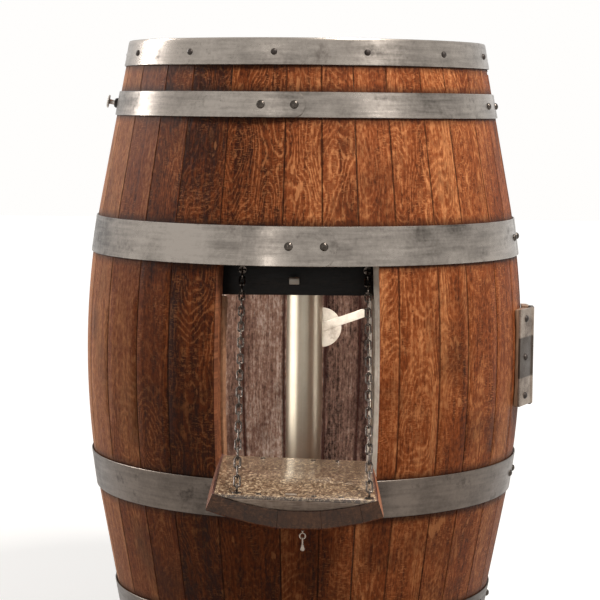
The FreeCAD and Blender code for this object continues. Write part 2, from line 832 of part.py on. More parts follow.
def save_chains():
    """Chains with their eyes; each chain is two halves, one hung from each eye."""
    half_spacing = at(hatch_right, inner_radius(hatch_top)).x - chain_margin
    seat_z = flap_top - lower_eye_inset
    slack = (link_wire + link_play) / 2
    upper_eyes, lower_eyes = [], []
    for side, sign in (("left", -1), ("right", 1)):
        upper_x = sign * (half_spacing + upper_eye_splay)
        upper_seat = V(upper_x, header_front, hatch_top - upper_eye_drop)
        upper_eyes.append(ring_eye(upper_seat, BACK * -1, upper_eye_reach, UP))
        upper_wire = upper_seat - BACK * (upper_eye_reach + eye_radius)

        lower_seat = on_flat(front_cleat_low, sign * half_spacing, seat_z)
        lower_eyes.append(opened(ring_eye(lower_seat, inward, lower_eye_reach, chord)))
        lower_centre = opened_point(lower_seat + inward * lower_eye_reach)

        along = (lower_centre - upper_wire).normalize()
        start = upper_wire - along * slack
        end = lower_centre - along * (eye_radius - slack)
        middle = links_per_chain // 2
        write("chain_upper_" + side, chain(start, end, 0, middle))
        write("chain_lower_" + side, chain(start, end, middle, links_per_chain))
        print("chain", side, "top", upper_wire, "bottom", lower_centre, "length", (end - start).Length)
    write("upper_eyes", upper_eyes)
    write("lower_eyes", lower_eyes)


def save_pull():
    """Screw eye under the flap's free edge, with the pull that hangs in it."""
    level = flap_top - pull_inset
    front = BACK * -1
    seat = V(0, -outer_radius(level) - fit_gap, level)
    centre = seat + front * pull_reach
    ring = mitred_wire(ring_points(centre, front, RIGHT, pull_ring_radius), pull_wire / 2, UP)
    stem_length = pull_reach - pull_ring_radius
    stem = lathe([(0, 0), (pull_wire / 2, 0), (pull_wire / 2, stem_length), (0, stem_length)],
                 round_turn(stud_sides))
    write("pull_eye", [opened(ring.fuse(set_on(stem, seat, front)))])

    hung_from = opened_point(centre + front * pull_ring_radius)
    down = UP * -1
    loop_centre = hung_from + down * (pull_loop_length / 2 - pull_wire - pull_play)
    loop = mitred_wire(oval(loop_centre, down, BACK, pull_loop_length, pull_loop_width, 4),
                       pull_wire / 2, RIGHT)
    drop = lathe([(0, 0), (pull_wire / 2, 0), (pull_drop_radius, 0.7 * pull_drop_length),
                  (0.5 * pull_drop_radius, pull_drop_length), (0, pull_drop_length)],
                 round_turn(stud_sides))
    write("pull", [loop.fuse(set_on(drop, loop_centre + down * (pull_loop_length / 2), down))])
    print("pull hung from", hung_from)


# side hinge and door

pivot_radius = bilge_radius + side_pivot_reach
side_pivot_azimuth = door_start + math.degrees(side_pivot_offset / pivot_radius)
side_pivot = at(side_pivot_azimuth, pivot_radius, mid_height)


def side_leaf(sign):
    """Leaf and wedge packing on one side of the side hinge; sign is +1 towards the door."""
    reach = side_leaf_width
    edge_radius = outer_radius(mid_height) + leaf_edge_height + side_leaf_thickness
    radial = at(side_pivot_azimuth, 1)
    tangent = at(side_pivot_azimuth + 90, sign)
    drop = pivot_radius + side_leaf_rise - math.sqrt(edge_radius**2 - reach**2)
    along = (tangent * reach - radial * drop).normalize()
    outward = UP.cross(along) * (-sign)
    start = side_pivot - UP * (side_leaf_height / 2) + outward * side_leaf_rise
    under = start - outward * side_leaf_thickness
    rise = UP * side_leaf_height
    plate = prism([start, start + along * reach, under + along * reach, under], rise)
    wedge_from = under + along * (side_knuckle_radius + side_pivot_offset + door_gap)
    wedge_to = under + along * reach
    inside = radial * (-2 * side_pivot_reach - side_leaf_thickness)
    wedge = prism([wedge_from, wedge_to, wedge_to + inside, wedge_from + inside], rise).cut(skin)
    packing = max(wedge.Solids, key=lambda piece: piece.CenterOfMass.dot(radial))
    return plate, packing, along, outward


def save_side_hinge():
    """Side hinge: two leaves on wedge packings, knuckles, pin and bolts."""
    half = side_leaf_height / 2
    middle = side_leaf_height * side_knuckle_share / 2
    hole = Part.makeCylinder(side_pin_radius + pin_clearance, side_leaf_height + 2,
                             side_pivot - UP * (half + 1))
    clear = side_knuckle_radius + knuckle_gap
    outer_spans = ((-half, -middle - knuckle_gap / 2), (middle + knuckle_gap / 2, half))
    inner_spans = ((-middle + knuckle_gap / 2, middle - knuckle_gap / 2),)
    for name, sign, own, other in (("side_fixed", -1, outer_spans, inner_spans),
                                   ("side_moving", 1, inner_spans, outer_spans)):
        plate, packing, along, outward = side_leaf(sign)
        for start, end in other:
            seat = side_pivot + UP * (start - knuckle_gap / 2)
            plate = plate.cut(rod(seat, UP, clear, end - start + knuckle_gap))
        for start, end in own:
            plate = plate.fuse(rod(side_pivot + UP * start, UP, side_knuckle_radius, end - start))
        write(name + "_leaf", [plate.cut(hole)])
        write(name + "_packing", [packing])
        seat = side_pivot + outward * side_leaf_rise + along * (side_leaf_width * side_bolt_share)
        write(name + "_bolts", [stud(seat + UP * level, outward, bolt_radius, bolt_height)
                                for level in (-side_bolt_rise, 0, side_bolt_rise)])
    pin = Part.makeCylinder(side_pin_radius, side_leaf_height, side_pivot - UP * half)
    for base, direction in ((half, UP), (-half, UP * -1)):
        pin = pin.fuse(stud(side_pivot + UP * base, direction, side_knuckle_radius, side_pin_head))
    write("side_pin", [pin.removeSplitter()])


def save_door():
    """Side door: its staves, battens, knob and catch."""
    between = slab(door_bottom, door_top)
    panels = staves(door_seams, half_door_gap, half_door_gap)
    write("door_staves", [panel.common(between) for panel in panels])
    margin = math.degrees(batten_margin / inner_radius(mid_height))
    battens = []
    for level in (door_bottom + low_batten_rise, door_top - high_batten_drop):
        low, high = level - batten_height / 2, level + batten_height / 2
        back = inner_radius(level) - batten_depth
        near = [(radius * flat_share, z) for radius, z in side_line(inner_skin, low, high)]
        battens.append(lathe(near + [(back, high), (back, low)],
                             steps(door_start + margin, door_end - margin)))
    write("door_battens", battens)
    write("door_knob", [knob(door_knob_azimuth, bilge_upper[0] - door_knob_drop, fit_gap)])

    near = inner_radius(mid_height) * flat_share - fit_gap
    low, high = mid_height - door_catch_height / 2, mid_height + door_catch_height / 2
    reach = math.degrees(door_catch_length / 2 / inner_radius(mid_height))
    catch = lathe([(near, low), (near, high), (near - door_catch_depth, high),
                   (near - door_catch_depth, low)], steps(door_end - reach, door_end + reach))
    write("door_catch", [catch.common(room)])


os.makedirs("parts", exist_ok=True)
save_staves()
save_hoops()
save_inside()
save_flap()
save_chains()
save_pull()
save_side_hinge()
save_door()
print("hatch pivot", pivot, "side pivot", side_pivot)
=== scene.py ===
import bpy
import bmesh
import math
import random
from mathutils import Matrix, Vector


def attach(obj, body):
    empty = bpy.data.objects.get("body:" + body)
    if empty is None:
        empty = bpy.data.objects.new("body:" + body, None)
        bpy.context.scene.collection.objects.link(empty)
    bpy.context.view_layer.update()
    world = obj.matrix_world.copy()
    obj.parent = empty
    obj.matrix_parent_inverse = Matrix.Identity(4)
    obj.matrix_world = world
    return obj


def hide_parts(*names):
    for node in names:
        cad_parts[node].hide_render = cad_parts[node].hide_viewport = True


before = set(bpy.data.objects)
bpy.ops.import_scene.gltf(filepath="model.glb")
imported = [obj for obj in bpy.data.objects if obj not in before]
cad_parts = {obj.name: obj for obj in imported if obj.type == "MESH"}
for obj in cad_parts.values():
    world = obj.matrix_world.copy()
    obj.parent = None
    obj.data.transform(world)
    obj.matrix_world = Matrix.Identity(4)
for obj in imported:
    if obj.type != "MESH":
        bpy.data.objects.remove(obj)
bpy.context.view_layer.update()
print("frame loaded:", len(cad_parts), "nodes")

# the cask's shape, in metres

cask = {"height": 0.914, "bilge": 0.3285, "head": 0.264, "bend": 0.230, "wall": 0.023,
        "trim": 0.0005, "ledge": 0.890, "croze": 0.052, "crozeHalf": 0.009, "crozeDepth": 0.006, "rebate": 0.008,
        "hatchLow": 0.3084, "hatchHigh": 0.6056, "hatchLeft": -22.2, "hatchRight": 18.4,
        "doorLow": 0.067, "doorHigh": 0.872, "doorGap": 0.003, "seam": 0.0004}
middle = cask["height"] / 2
toRight, toBack, upward = Vector((1, 0, 0)), Vector((0, 1, 0)), Vector((0, 0, 1))


def endSlope():
    low, high = 0.0, math.radians(60)
    for _ in range(50):
        angle = (low + high) / 2
        fall = cask["bend"] * math.tan(angle / 2) + (middle - cask["bend"]) * math.tan(angle)
        if fall < cask["bilge"] - cask["head"]:
            low = angle
        else:
            high = angle
    return low


slope = endSlope()
bendRadius = cask["bend"] / math.sin(slope)


def wallRadius(z):
    rise = abs(z - middle)
    if rise <= cask["bend"]:
        radius = cask["bilge"] - bendRadius + math.sqrt(bendRadius ** 2 - rise ** 2)
    else:
        radius = cask["head"] + (middle - rise) * math.tan(slope)
    return radius - cask["trim"]


def onWall(azimuth, radius, z):
    turn = math.radians(azimuth)
    return Vector((radius * math.sin(turn), -radius * math.cos(turn), z))


def spread(low, high, count):
    return [low + (high - low) * index / count for index in range(count + 1)]


def arc(length):
    return math.degrees(length / cask["bilge"])


# node building blocks

class Wire:
    # one output of a node; sums and products of wires add math nodes to the same tree
    def __init__(self, socket):
        self.socket, self.node, self.tree = socket, socket.node, socket.id_data

    def __getitem__(self, label):
        return Wire(self.node.outputs[label])

    def __add__(self, other):
        return calc("ADD", self, other)

    def __sub__(self, other):
        return calc("SUBTRACT", self, other)

    def __mul__(self, other):
        return calc("MULTIPLY", self, other)


def feed(node, inputs):
    for label, value in inputs.items():
        if isinstance(value, Wire):
            value.tree.links.new(value.socket, node.inputs[label])
        else:
            node.inputs[label].default_value = value


def addNode(tree, kind, inputs={}, **settings):
    made = tree.nodes.new(kind)
    for name, value in settings.items():
        setattr(made, name, value)
    feed(made, inputs)
    return Wire(made.outputs[0]) if made.outputs else made


def calc(operation, *values):
    return addNode(values[0].tree, "ShaderNodeMath", dict(enumerate(values)), operation=operation)


def largest(wire, *others):
    for other in others:
        wire = calc("MAXIMUM", wire, other)
    return wire


def vectorCalc(operation, *values):
    return addNode(values[0].tree, "ShaderNodeVectorMath", dict(enumerate(values)), operation=operation)


def stretch(vector, factors):
    return vectorCalc("MULTIPLY", vector, factors)


def axisOf(vector, index):
    return addNode(vector.tree, "ShaderNodeSeparateXYZ", {0: vector})[index]


def noiseOf(vector, scale, detail, rough):
    return addNode(vector.tree, "ShaderNodeTexNoise",
                   {"Vector": vector, "Scale": scale, "Detail": detail, "Roughness": rough})["Fac"]


def remap(value, fromLow, fromHigh, toLow=0.0, toHigh=1.0):
    return addNode(value.tree, "ShaderNodeMapRange", dict(enumerate((value, fromLow, fromHigh, toLow, toHigh))),
                   clamp=True)


def mix(factor, first, second):
    return addNode(factor.tree, "ShaderNodeMix", {0: factor, 6: first, 7: second}, data_type="RGBA")[2]


def linear(*bytesOfColour):
    shares = [value / 255 for value in bytesOfColour]
    return (*[share / 12.92 if share <= 0.04045 else ((share + 0.055) / 1.055) ** 2.4 for share in shares], 1.0)


def startTree(kind, name, inputs, outputs):
    # each input or output is a kind of socket, or the number that a plain value starts from
    tree = bpy.data.node_groups.new(name, kind)
    for way, labels in (("INPUT", inputs), ("OUTPUT", outputs)):
        for label, value in labels.items():
            plain = not isinstance(value, str)
            socket = tree.interface.new_socket(name=label, in_out=way,
                                               socket_type="NodeSocket" + ("Float" if plain else value))
            if plain:
                socket.default_value = value
    return tree, Wire(tree.nodes.new("NodeGroupInput").outputs[0]), tree.nodes.new("NodeGroupOutput")


shaderOutputs = {"Colour": "Color", "Rough": 0.0, "Height": 0.0}


def makeOakGroup():
    # coordinates come as (across the board, along the board, board number)
    tree, given, result = startTree("ShaderNodeTree", "oakFigure", {
        "Board": "Vector", "Deep": "Color", "Mid": "Color", "Pale": "Color", "Tone": 0.5, "Figure": 0.5,
        "Flecks": 0.3, "Pores": 0.5, "Scrapes": 0.0}, shaderOutputs)
    deep, mid, pale = given["Deep"], given["Mid"], given["Pale"]

    def grain(factors, detail, rough):
        return noiseOf(stretch(given["Board"], factors), 1, detail, rough)

    fibre = grain((1100, 26, 7), 4, 0.65)
    streak = grain((210, 7, 5), 4, 0.6)
    broad = grain((26, 5, 3), 3, 0.5)
    mottle = grain((230, 130, 13), 4, 0.65)
    value = streak * 0.26 + fibre * 0.16 + mottle * 0.34 + broad * 0.30 + (given["Tone"] - 0.5) * 0.34
    colour = mix(remap(value, 0.53, 0.70), mix(remap(value, 0.40, 0.53), deep, mid), pale)
    # growth rings cut on the slant: pale wavy loops, the level lines of a soft slow noise
    loops = calc("SINE", grain((17, 7, 3.7), 1, 0.4) * 150 + grain((150, 110, 5), 2, 0.5) * 4.5)
    ownShare = grain((0, 2.2, 5.3), 1, 0.5)        # some boards have few loops
    strength = given["Figure"] * remap(mottle, 0.36, 0.56) * remap(broad, 0.38, 0.58, 0.3, 1.0)
    strength = strength * remap(ownShare, 0.42, 0.60, 0.4, 1.25)
    colour = mix(remap(loops, 0.35, 1.0) * strength, colour, pale)
    colour = mix(remap(loops, -0.2, -1.0) * (strength * 0.45), colour, deep)
    # ray flecks: short pale dashes across the board
    flecks = remap(grain((150, 520, 9), 2, 0.6), 0.54, 0.68) * remap(grain((30, 14, 4), 2, 0.5), 0.40, 0.60)
    colour = mix(flecks * given["Flecks"], colour, pale)
    # open pores and checks: fine dark dashes along the board
    pores = remap(grain((1500, 60, 11), 2, 0.5), 0.56, 0.70) * given["Pores"]
    colour = mix(pores, colour, deep)
    # scrapes: a few small places where the pale wood shows
    scrapes = remap(grain((42, 19, 6), 3, 0.55), 0.665, 0.69) * given["Scrapes"]
    feed(result, {"Colour": mix(scrapes, colour, pale), "Rough": fibre * 0.22 + 0.42 + pores * 0.2,
                  "Height": fibre * 0.4 + streak * 0.5 + mottle * 0.7 - pores * 0.8})
    return tree


hoopEdges = (0.1486, 0.203, 0.350, 0.385, 0.422)        # how far the hoops' edges lie from the middle


def makeGrimeGroup():
    # darkens a colour near seams, next to the hoops and in soft random patches
    tree, given, result = startTree("ShaderNodeTree", "handledGrime", {
        "Colour": "Color", "Dirt": "Color", "Edge": 1.0, "Place": "Vector", "Seams": 0.8, "Patches": 0.3,
        "Bands": 0.0, "Reach": 0.0075, "Board": "Vector"}, {"Colour": "Color"})
    blotch = noiseOf(given["Place"], 9, 4, 0.6)
    speck = noiseOf(given["Place"], 90, 3, 0.6)
    seam = remap(given["Edge"], 0.0, speck * blotch * given["Reach"] + 0.0003, 1.0, 0.0) * given["Seams"]
    rise = calc("ABSOLUTE", axisOf(given["Board"], 1) - middle)
    fade = blotch * 0.018 + 0.004
    band = largest(*[remap(calc("ABSOLUTE", rise - edge), 0.0, fade, 1.0, 0.0) for edge in hoopEdges])
    patch = remap(blotch, 0.5, 0.72) * given["Patches"]
    feed(result, {"Colour": mix(largest(seam, band * given["Bands"], patch), given["Colour"], given["Dirt"])})
    return tree


def makeScuffGroup():
    # mottled, brushed and stained sheet steel
    tree, given, result = startTree("ShaderNodeTree", "scuffedMetal", {
        "Place": "Vector", "Brushed": "Vector", "Bright": "Color", "Dull": "Color", "Stain": "Color",
        "Mottle": 0.8, "Stains": 0.3, "Size": 30.0}, shaderOutputs)
    place = given["Place"]
    cloudy = noiseOf(place, given["Size"], 5, 0.62)
    spangle = addNode(tree, "ShaderNodeTexVoronoi", {"Vector": place, "Scale": given["Size"] * 4},
                      feature="SMOOTH_F1")["Distance"]
    brush = noiseOf(given["Brushed"], 1, 3, 0.6)
    grain = noiseOf(place, 210, 4, 0.7)
    value = remap(cloudy * 0.62 + brush * 0.20 + grain * 0.14 + spangle * 0.06, 0.43, 0.64) * given["Mottle"]
    spots = remap(noiseOf(place, 23, 5, 0.7), 0.58, 0.70) * given["Stains"]
    feed(result, {"Colour": mix(spots, mix(value, given["Bright"], given["Dull"]), given["Stain"]),
                  "Rough": value * 0.22 + 0.34 + spots * 0.3, "Height": brush * 0.35 + cloudy * 0.8 - spots * 0.5})
    return tree


oakFigure, handledGrime, scuffedMetal = makeOakGroup(), makeGrimeGroup(), makeScuffGroup()


def startMaterial(name):
    material = bpy.data.materials.new(name)
    material.use_nodes = True
    tree = material.node_tree
    return material, tree, tree.nodes["Principled BSDF"], addNode(tree, "ShaderNodeTexCoord")["Object"]


def attributeOf(tree, name, output):
    return addNode(tree, "ShaderNodeAttribute", attribute_name=name)[output]


def bumpOf(height, strength, distance):
    return addNode(height.tree, "ShaderNodeBump", {"Strength": strength, "Distance": distance, "Height": height})


def useGroup(tree, group, look, inputs):
    # numbers and colours of the look go to the inputs that have their names
    made = addNode(tree, "ShaderNodeGroup", inputs, node_tree=group)
    for socket in made.node.inputs:
        value = look.get(socket.name.lower())
        if value is not None:
            socket.default_value = linear(*value) if socket.type == "RGBA" else value
    return made


def makeWood(name, look):
    material, tree, shader, place = startMaterial(name)
    if "turn" in look:        # cut from one piece, with the grain turned its way
        board = addNode(tree, "ShaderNodeMapping", {"Vector": place, "Rotation": look["turn"]})
        tone, edge = 0.5, 1.0
    else:
        board = attributeOf(tree, "board", "Vector")
        tone, edge = attributeOf(tree, "tone", "Fac"), attributeOf(tree, "edge", "Fac")
    oak = useGroup(tree, oakFigure, look, {"Board": board, "Tone": tone})
    grime = useGroup(tree, handledGrime, look, {"Colour": oak, "Place": place, "Edge": edge, "Board": board})
    feed(shader, {"Base Color": grime, "Specular IOR Level": look["gloss"],
                  "Roughness": oak["Rough"] + look.get("rough", 0.0),
                  "Normal": bumpOf(oak["Height"], look.get("bump", 0.5), 0.0006)})
    return material


def makeMetal(name, look):
    material, tree, shader, place = startMaterial(name)
    brushed = attributeOf(tree, "board", "Vector") if look.get("hoop") else place
    scuff = useGroup(tree, scuffedMetal, look, {
        "Place": place, "Brushed": stretch(brushed, look.get("brushing", (700, 30, 700)))})
    colour = scuff
    if "rust" in look:        # darker between two heights, beside the middle knuckle
        level, reach = look["rust"]
        rise = calc("ABSOLUTE", axisOf(place, 2) - level)
        colour = mix(remap(rise, reach, reach + 0.002, 0.85, 0.0), colour, linear(*look["stain"]))
    feed(shader, {"Base Color": colour, "Metallic": look["metallic"],
                  "Roughness": scuff["Rough"] + look.get("rough", 0.0),
                  "Normal": bumpOf(scuff["Height"], look.get("bump", 0.3), 0.0004)})
    return material


def makeFleckedBoard(name, look):
    # varnished board of small pressed chips
    material, tree, shader, place = startMaterial(name)
    deep, mid, pale = (linear(*look[label]) for label in ("deep", "mid", "pale"))
    wander = noiseOf(place, 60, 3, 0.6)
    moved = vectorCalc("ADD", stretch(place, look["chips"]), wander * 3.0)
    chips = addNode(tree, "ShaderNodeTexVoronoi", {"Vector": moved}, feature="F1")
    tints = addNode(tree, "ShaderNodeSeparateColor", {0: chips["Color"]})
    strands = noiseOf(stretch(moved, (5.0, 1.6, 5.0)), 1, 3, 0.6)
    value = tints[0] * 0.4 + strands * 0.75
    colour = mix(remap(value, 0.60, 0.82), mix(remap(value, 0.30, 0.55), deep, mid), pale)
    colour = mix(remap(chips["Distance"], 0.55, 0.95) * 0.5, colour, deep)
    feed(shader, {"Base Color": colour, "Roughness": noiseOf(place, 700, 3, 0.7) * 0.2 + look["rough"],
                  "Coat Weight": look["coat"], "Coat Roughness": 0.12,
                  "Normal": bumpOf(tints[1] * 0.6 + wander * 0.6, 0.35, 0.0007)})
    return material


woodLooks = {
    "oakOutside": dict(deep=(52, 20, 7), mid=(137, 69, 33), pale=(208, 138, 88), dirt=(20, 8, 4), figure=0.6,
                       flecks=0.5, pores=0.6, bands=0.8, patches=0.6, gloss=0.1, bump=0.8, scrapes=0.55),
    "oakInside": dict(deep=(38, 16, 13), mid=(152, 118, 102), pale=(240, 226, 212), dirt=(50, 12, 9), figure=0.1,
                      flecks=0.1, pores=1.0, patches=0.9, gloss=0.2, rough=0.1, seams=1.0, reach=0.022),
    "endGrain": dict(deep=(36, 24, 17), mid=(70, 47, 34), pale=(108, 78, 58), dirt=(24, 15, 10), gloss=0.3,
                     rough=0.1, seams=0.2),
    "greyCleat": dict(deep=(70, 55, 44), mid=(128, 110, 96), pale=(166, 150, 136), dirt=(50, 38, 30), figure=0.1,
                      turn=(0.785, 0, 1.5708), patches=0.4, gloss=0.3, rough=0.05),
    "cutEdge": dict(deep=(84, 44, 26), mid=(146, 88, 56), pale=(190, 130, 90), dirt=(50, 24, 14), patches=0.2,
                    gloss=0.2, rough=0.1, seams=0.0),
    # pale wood made near white: painted light on the right jamb and on the notched stave's cut face beside the
    # hatch
    "paleStripPaintedLight": dict(deep=(206, 194, 178), mid=(238, 230, 216), pale=(248, 242, 232), dirt=(120, 102, 84),
                      figure=0.1, turn=(1.5708, 0.785, 0), patches=0.4, gloss=0.3, seams=0.0),
    "brownStrip": dict(deep=(84, 50, 34), mid=(146, 104, 76), pale=(182, 140, 108), dirt=(50, 26, 18), figure=0.1,
                       turn=(1.5708, 0.785, 0), patches=0.4, gloss=0.2),
    "darkBoard": dict(deep=(5, 4, 3), mid=(12, 9, 7), pale=(30, 23, 18), dirt=(3, 2, 2), gloss=0.15, rough=-0.02,
                      turn=(0.785, 0, 1.5708)),
    "shelfBoard": dict(deep=(70, 46, 32), mid=(118, 88, 66), pale=(150, 120, 96), dirt=(40, 24, 16), gloss=0.35,
                       turn=(0, 0, 0)),
}
woodLooks["oakHead"] = dict(woodLooks["oakOutside"], bands=0.0)       # the heads carry no hoops
hoopFinish = dict(hoop=True, brushing=(170, 12, 40), mottle=0.9, stains=0.6, size=5)
metalLooks = {
    "hoopSteel": dict(hoopFinish, bright=(162, 153, 144), dull=(40, 35, 31), stain=(38, 31, 27), metallic=0.95,
                      rough=-0.12, bump=0.2),
    # a darker copy of the hoop steel for the lower hoops: painted shade, as they tilt down away from the light
    "hoopSteelPaintedShade": dict(hoopFinish, bright=(104, 94, 86), dull=(40, 34, 30), stain=(32, 25, 21), metallic=0.9),
    "darkIron": dict(bright=(64, 56, 51), dull=(28, 24, 22), stain=(54, 34, 24), mottle=0.9, stains=0.35, size=90,
                     metallic=0.7, rough=0.04),
    "rivetSteel": dict(bright=(78, 71, 65), dull=(30, 26, 23), stain=(36, 26, 20), mottle=0.9, size=120,
                       metallic=0.9, rough=-0.14),
    "knobSteel": dict(bright=(196, 188, 180), dull=(120, 112, 104), stain=(90, 74, 62), size=90, metallic=0.8,
                      rough=-0.04),
    "hingeZinc": dict(bright=(160, 146, 132), dull=(84, 70, 60), stain=(46, 35, 26), mottle=0.9, stains=0.5,
                      size=22, metallic=0.7, rust=(0.457, 0.029)),
    "chainSteel": dict(bright=(90, 81, 74), dull=(30, 25, 22), stain=(34, 24, 19), mottle=0.9, stains=0.4,
                       size=140, metallic=0.95, rough=-0.14),
    "postSteel": dict(bright=(186, 178, 162), dull=(150, 141, 124), stain=(150, 132, 112), mottle=0.4,
                      stains=0.05, size=5, metallic=1.0, rough=0.03, brushing=(500, 500, 5), bump=0.01),
    "discEnamel": dict(bright=(214, 206, 194), dull=(184, 174, 160), stain=(116, 96, 80), mottle=0.9, stains=0.75,
                       size=75, metallic=0.1),
    "catchPlastic": dict(bright=(226, 220, 208), dull=(204, 196, 182), stain=(170, 156, 138), mottle=0.6,
                         stains=0.15, size=120, metallic=0.0, rough=0.05),
}
chipLook = dict(deep=(34, 21, 13), mid=(90, 65, 45), pale=(214, 188, 154), chips=(85, 50, 85), rough=0.24,
                coat=0.7)
finishes = {name: makeWood(name, look) for name, look in woodLooks.items()}
finishes["fleckedBoard"] = makeFleckedBoard("fleckedBoard", chipLook)
finishes.update({name: makeMetal(name, look) for name, look in metalLooks.items()})
print("materials built:", len(finishes))

# mesh building


class MeshNotes:
    # vertices, faces, face materials and the per-vertex board coordinates of one piece
    def __init__(self):
        self.points, self.faces, self.slots = [], [], []
        self.boards, self.tones, self.edges = [], [], []

    def add(self, point, board=(0, 0, 0), tone=0.5, edge=1.0):
        self.points.append(point)
        self.boards.append(board)
        self.tones.append(tone)
        self.edges.append(edge)

    def face(self, corners, slot=0):
        self.faces.append(corners)
        self.slots.append(slot)

    def skin(self, first, rings, count, closed=False, slotOf=lambda row: 0, endSlot=0):
        # joins rings of count points; an open row of rings gets a face at each end
        for ring in range(rings if closed else rings - 1):
            near, far = first + ring * count, first + (ring + 1) % rings * count
            for row in range(count):
                after = (row + 1) % count
                self.face([near + row, near + after, far + after, far + row], slotOf(row))
        if not closed:
            last = first + (rings - 1) * count
            self.face([first + row for row in range(count)], endSlot)
            self.face([last + row for row in reversed(range(count))], endSlot)


def putInScene(name, data):
    made = bpy.data.objects.new(name, data)
    bpy.context.scene.collection.objects.link(made)
    return made


def smoothMesh(mesh, angle):
    mesh.shade_smooth()
    mesh.set_sharp_from_angle(angle=math.radians(angle))


def settle(piece, body, slot, node):
    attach(piece, body)
    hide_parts(node)


def finishMesh(name, mesh, shape, angle):
    bmesh.ops.remove_doubles(shape, verts=shape.verts, dist=1e-6)
    bmesh.ops.dissolve_degenerate(shape, edges=shape.edges, dist=1e-7)
    bmesh.ops.recalc_face_normals(shape, faces=shape.faces)
    shape.to_mesh(mesh)
    shape.free()
    smoothMesh(mesh, angle)
    return putInScene(name, mesh)


def makeObject(name, notes, looks, body, slot, node, angle=38.0, place=None):
    mesh = bpy.data.meshes.new(name)
    points = [place(point) for point in notes.points] if place else notes.points
    mesh.from_pydata(points, [], notes.faces)
    mesh.polygons.foreach_set("material_index", notes.slots)
    board = mesh.attributes.new("board", "FLOAT_VECTOR", "POINT")
    board.data.foreach_set("vector", [number for triple in notes.boards for number in triple])
    mesh.attributes.new("tone", "FLOAT", "POINT").data.foreach_set("value", notes.tones)
    mesh.attributes.new("edge", "FLOAT", "POINT").data.foreach_set("value", notes.edges)
    for look in looks:
        mesh.materials.append(finishes[look])
    shape = bmesh.new()
    shape.from_mesh(mesh)
    settle(finishMesh(name, mesh, shape, angle), body, slot, node)


def sweep(notes, rings, azimuths, boardOf, closed=False, slotOf=lambda row: 0, endSlot=0):
    # rings holds one outline of (radius, z) for each azimuth
    first = len(notes.points)
    for column, (azimuth, ring) in enumerate(zip(azimuths, rings)):
        for row, (radius, z) in enumerate(ring):
            notes.add(onWall(azimuth, radius, z), *boardOf(column, row, azimuth, radius, z))
    notes.skin(first, len(azimuths), len(rings[0]), closed, slotOf, endSlot)


# staves

staveLook = {"grooveWidth": 0.0011, "grooveDepth": 0.0008, "flatness": 0.4, "rowPitch": 0.022, "columns": 5,
             "endBevel": 0.0012}
seams = {
    "left": (-87.0, -73.5, -59.7, -46.2, -35.3, -22.2),
    "hatch": (-22.2, -5.8, 4.2, 13.5),
    "notched": (13.5, 23.6),
    "right": (23.6, 35.2, 44.9, 57.6, 68.4, 78.5),
    "door": (78.5, 91.0, 103.5, 114.5, 127.0, 139.0, 150.5),
    "back": (150.5, 162.5, 173.5, 186.5, 199.5, 212.0, 224.5, 236.5, 249.0, 261.0, 273.0),
}
staveTones = {1: 0.86, 2: 0.74, 3: 0.58, 4: 0.38, 5: 0.22, 7: 0.34, 8: 0.44, 9: 0.42, 11: 0.50, 12: 0.47, 13: 0.54,
              14: 0.48, 15: 0.52, 16: 0.46}        # the staves in front; the rest vary by their number
halfSeam, halfDoor = arc(cask["seam"] / 2), arc(cask["doorGap"] / 2)


def toneOf(number):
    return random.Random(number).uniform(0.3, 0.7)


def staveOutline(low, high):
    bevel = staveLook["endBevel"]
    rows = max(2, round((high - low) / staveLook["rowPitch"]))
    outer = [(wallRadius(low) - bevel, low)]
    outer += [(wallRadius(z), z) for z in spread(low + bevel, high - bevel, rows)]
    outer += [(wallRadius(high) - bevel, high)]
    inner = []
    innerLow, innerHigh, ledge = low, high, cask["ledge"]
    if high > ledge:
        rebate = wallRadius(ledge) + cask["trim"] - cask["wall"] + cask["rebate"]
        inner += [(rebate, high), (rebate, ledge)]
        innerHigh = ledge
    crozeLow, crozeHigh = cask["croze"] - cask["crozeHalf"], cask["croze"] + cask["crozeHalf"]
    if low < crozeLow:
        innerLow = crozeHigh
    inner += [(wallRadius(z) + cask["trim"] - cask["wall"], z)
              for z in reversed(spread(innerLow, innerHigh, max(2, rows // 2)))]
    if low < crozeLow:
        inner += [(wallRadius(cask["croze"]) - cask["wall"] + cask["crozeDepth"], cask["croze"])]
        inner += [(wallRadius(z) - cask["wall"], z) for z in (crozeLow, low)]
    return outer + inner, len(outer)


def addStave(notes, start, end, low, high, number, grooves=(True, True)):
    outline, outerCount = staveOutline(low, high)
    groove = arc(staveLook["grooveWidth"])
    leftIn, rightIn = (start + (groove if grooves[0] else 0.01), end - (groove if grooves[1] else 0.01))
    azimuths = [start] + spread(leftIn, rightIn, staveLook["columns"]) + [end]
    centre, half = (start + end) / 2, (end - start) / 2
    tone = staveTones.get(number, toneOf(number))
    sag = cask["bilge"] * (1 - math.cos(math.radians(half))) * staveLook["flatness"]
    rings = []
    for column, azimuth in enumerate(azimuths):
        drop = sag * (1 - ((azimuth - centre) / half) ** 2)
        if (column == 0 and grooves[0]) or (column == len(azimuths) - 1 and grooves[1]):
            drop += staveLook["grooveDepth"]
        rings.append([(radius - drop, z) if row < outerCount else (radius, z)
                      for row, (radius, z) in enumerate(outline)])

    def boardOf(column, row, azimuth, radius, z):
        distance = min(math.radians(azimuth - start) if grooves[0] else 1,
                       math.radians(end - azimuth) if grooves[1] else 1) * cask["bilge"]
        across = math.radians(azimuth - centre) * cask["bilge"]
        return (across, z, number * 1.7 + (0.0 if row < outerCount else 0.4)), tone, max(0.0, distance)

    def slotOf(row):
        if row < outerCount - 1 or row == len(outline) - 1:
            return 0
        return 1 if row >= outerCount else 2

    sweep(notes, rings, azimuths, boardOf, False, slotOf, 3)


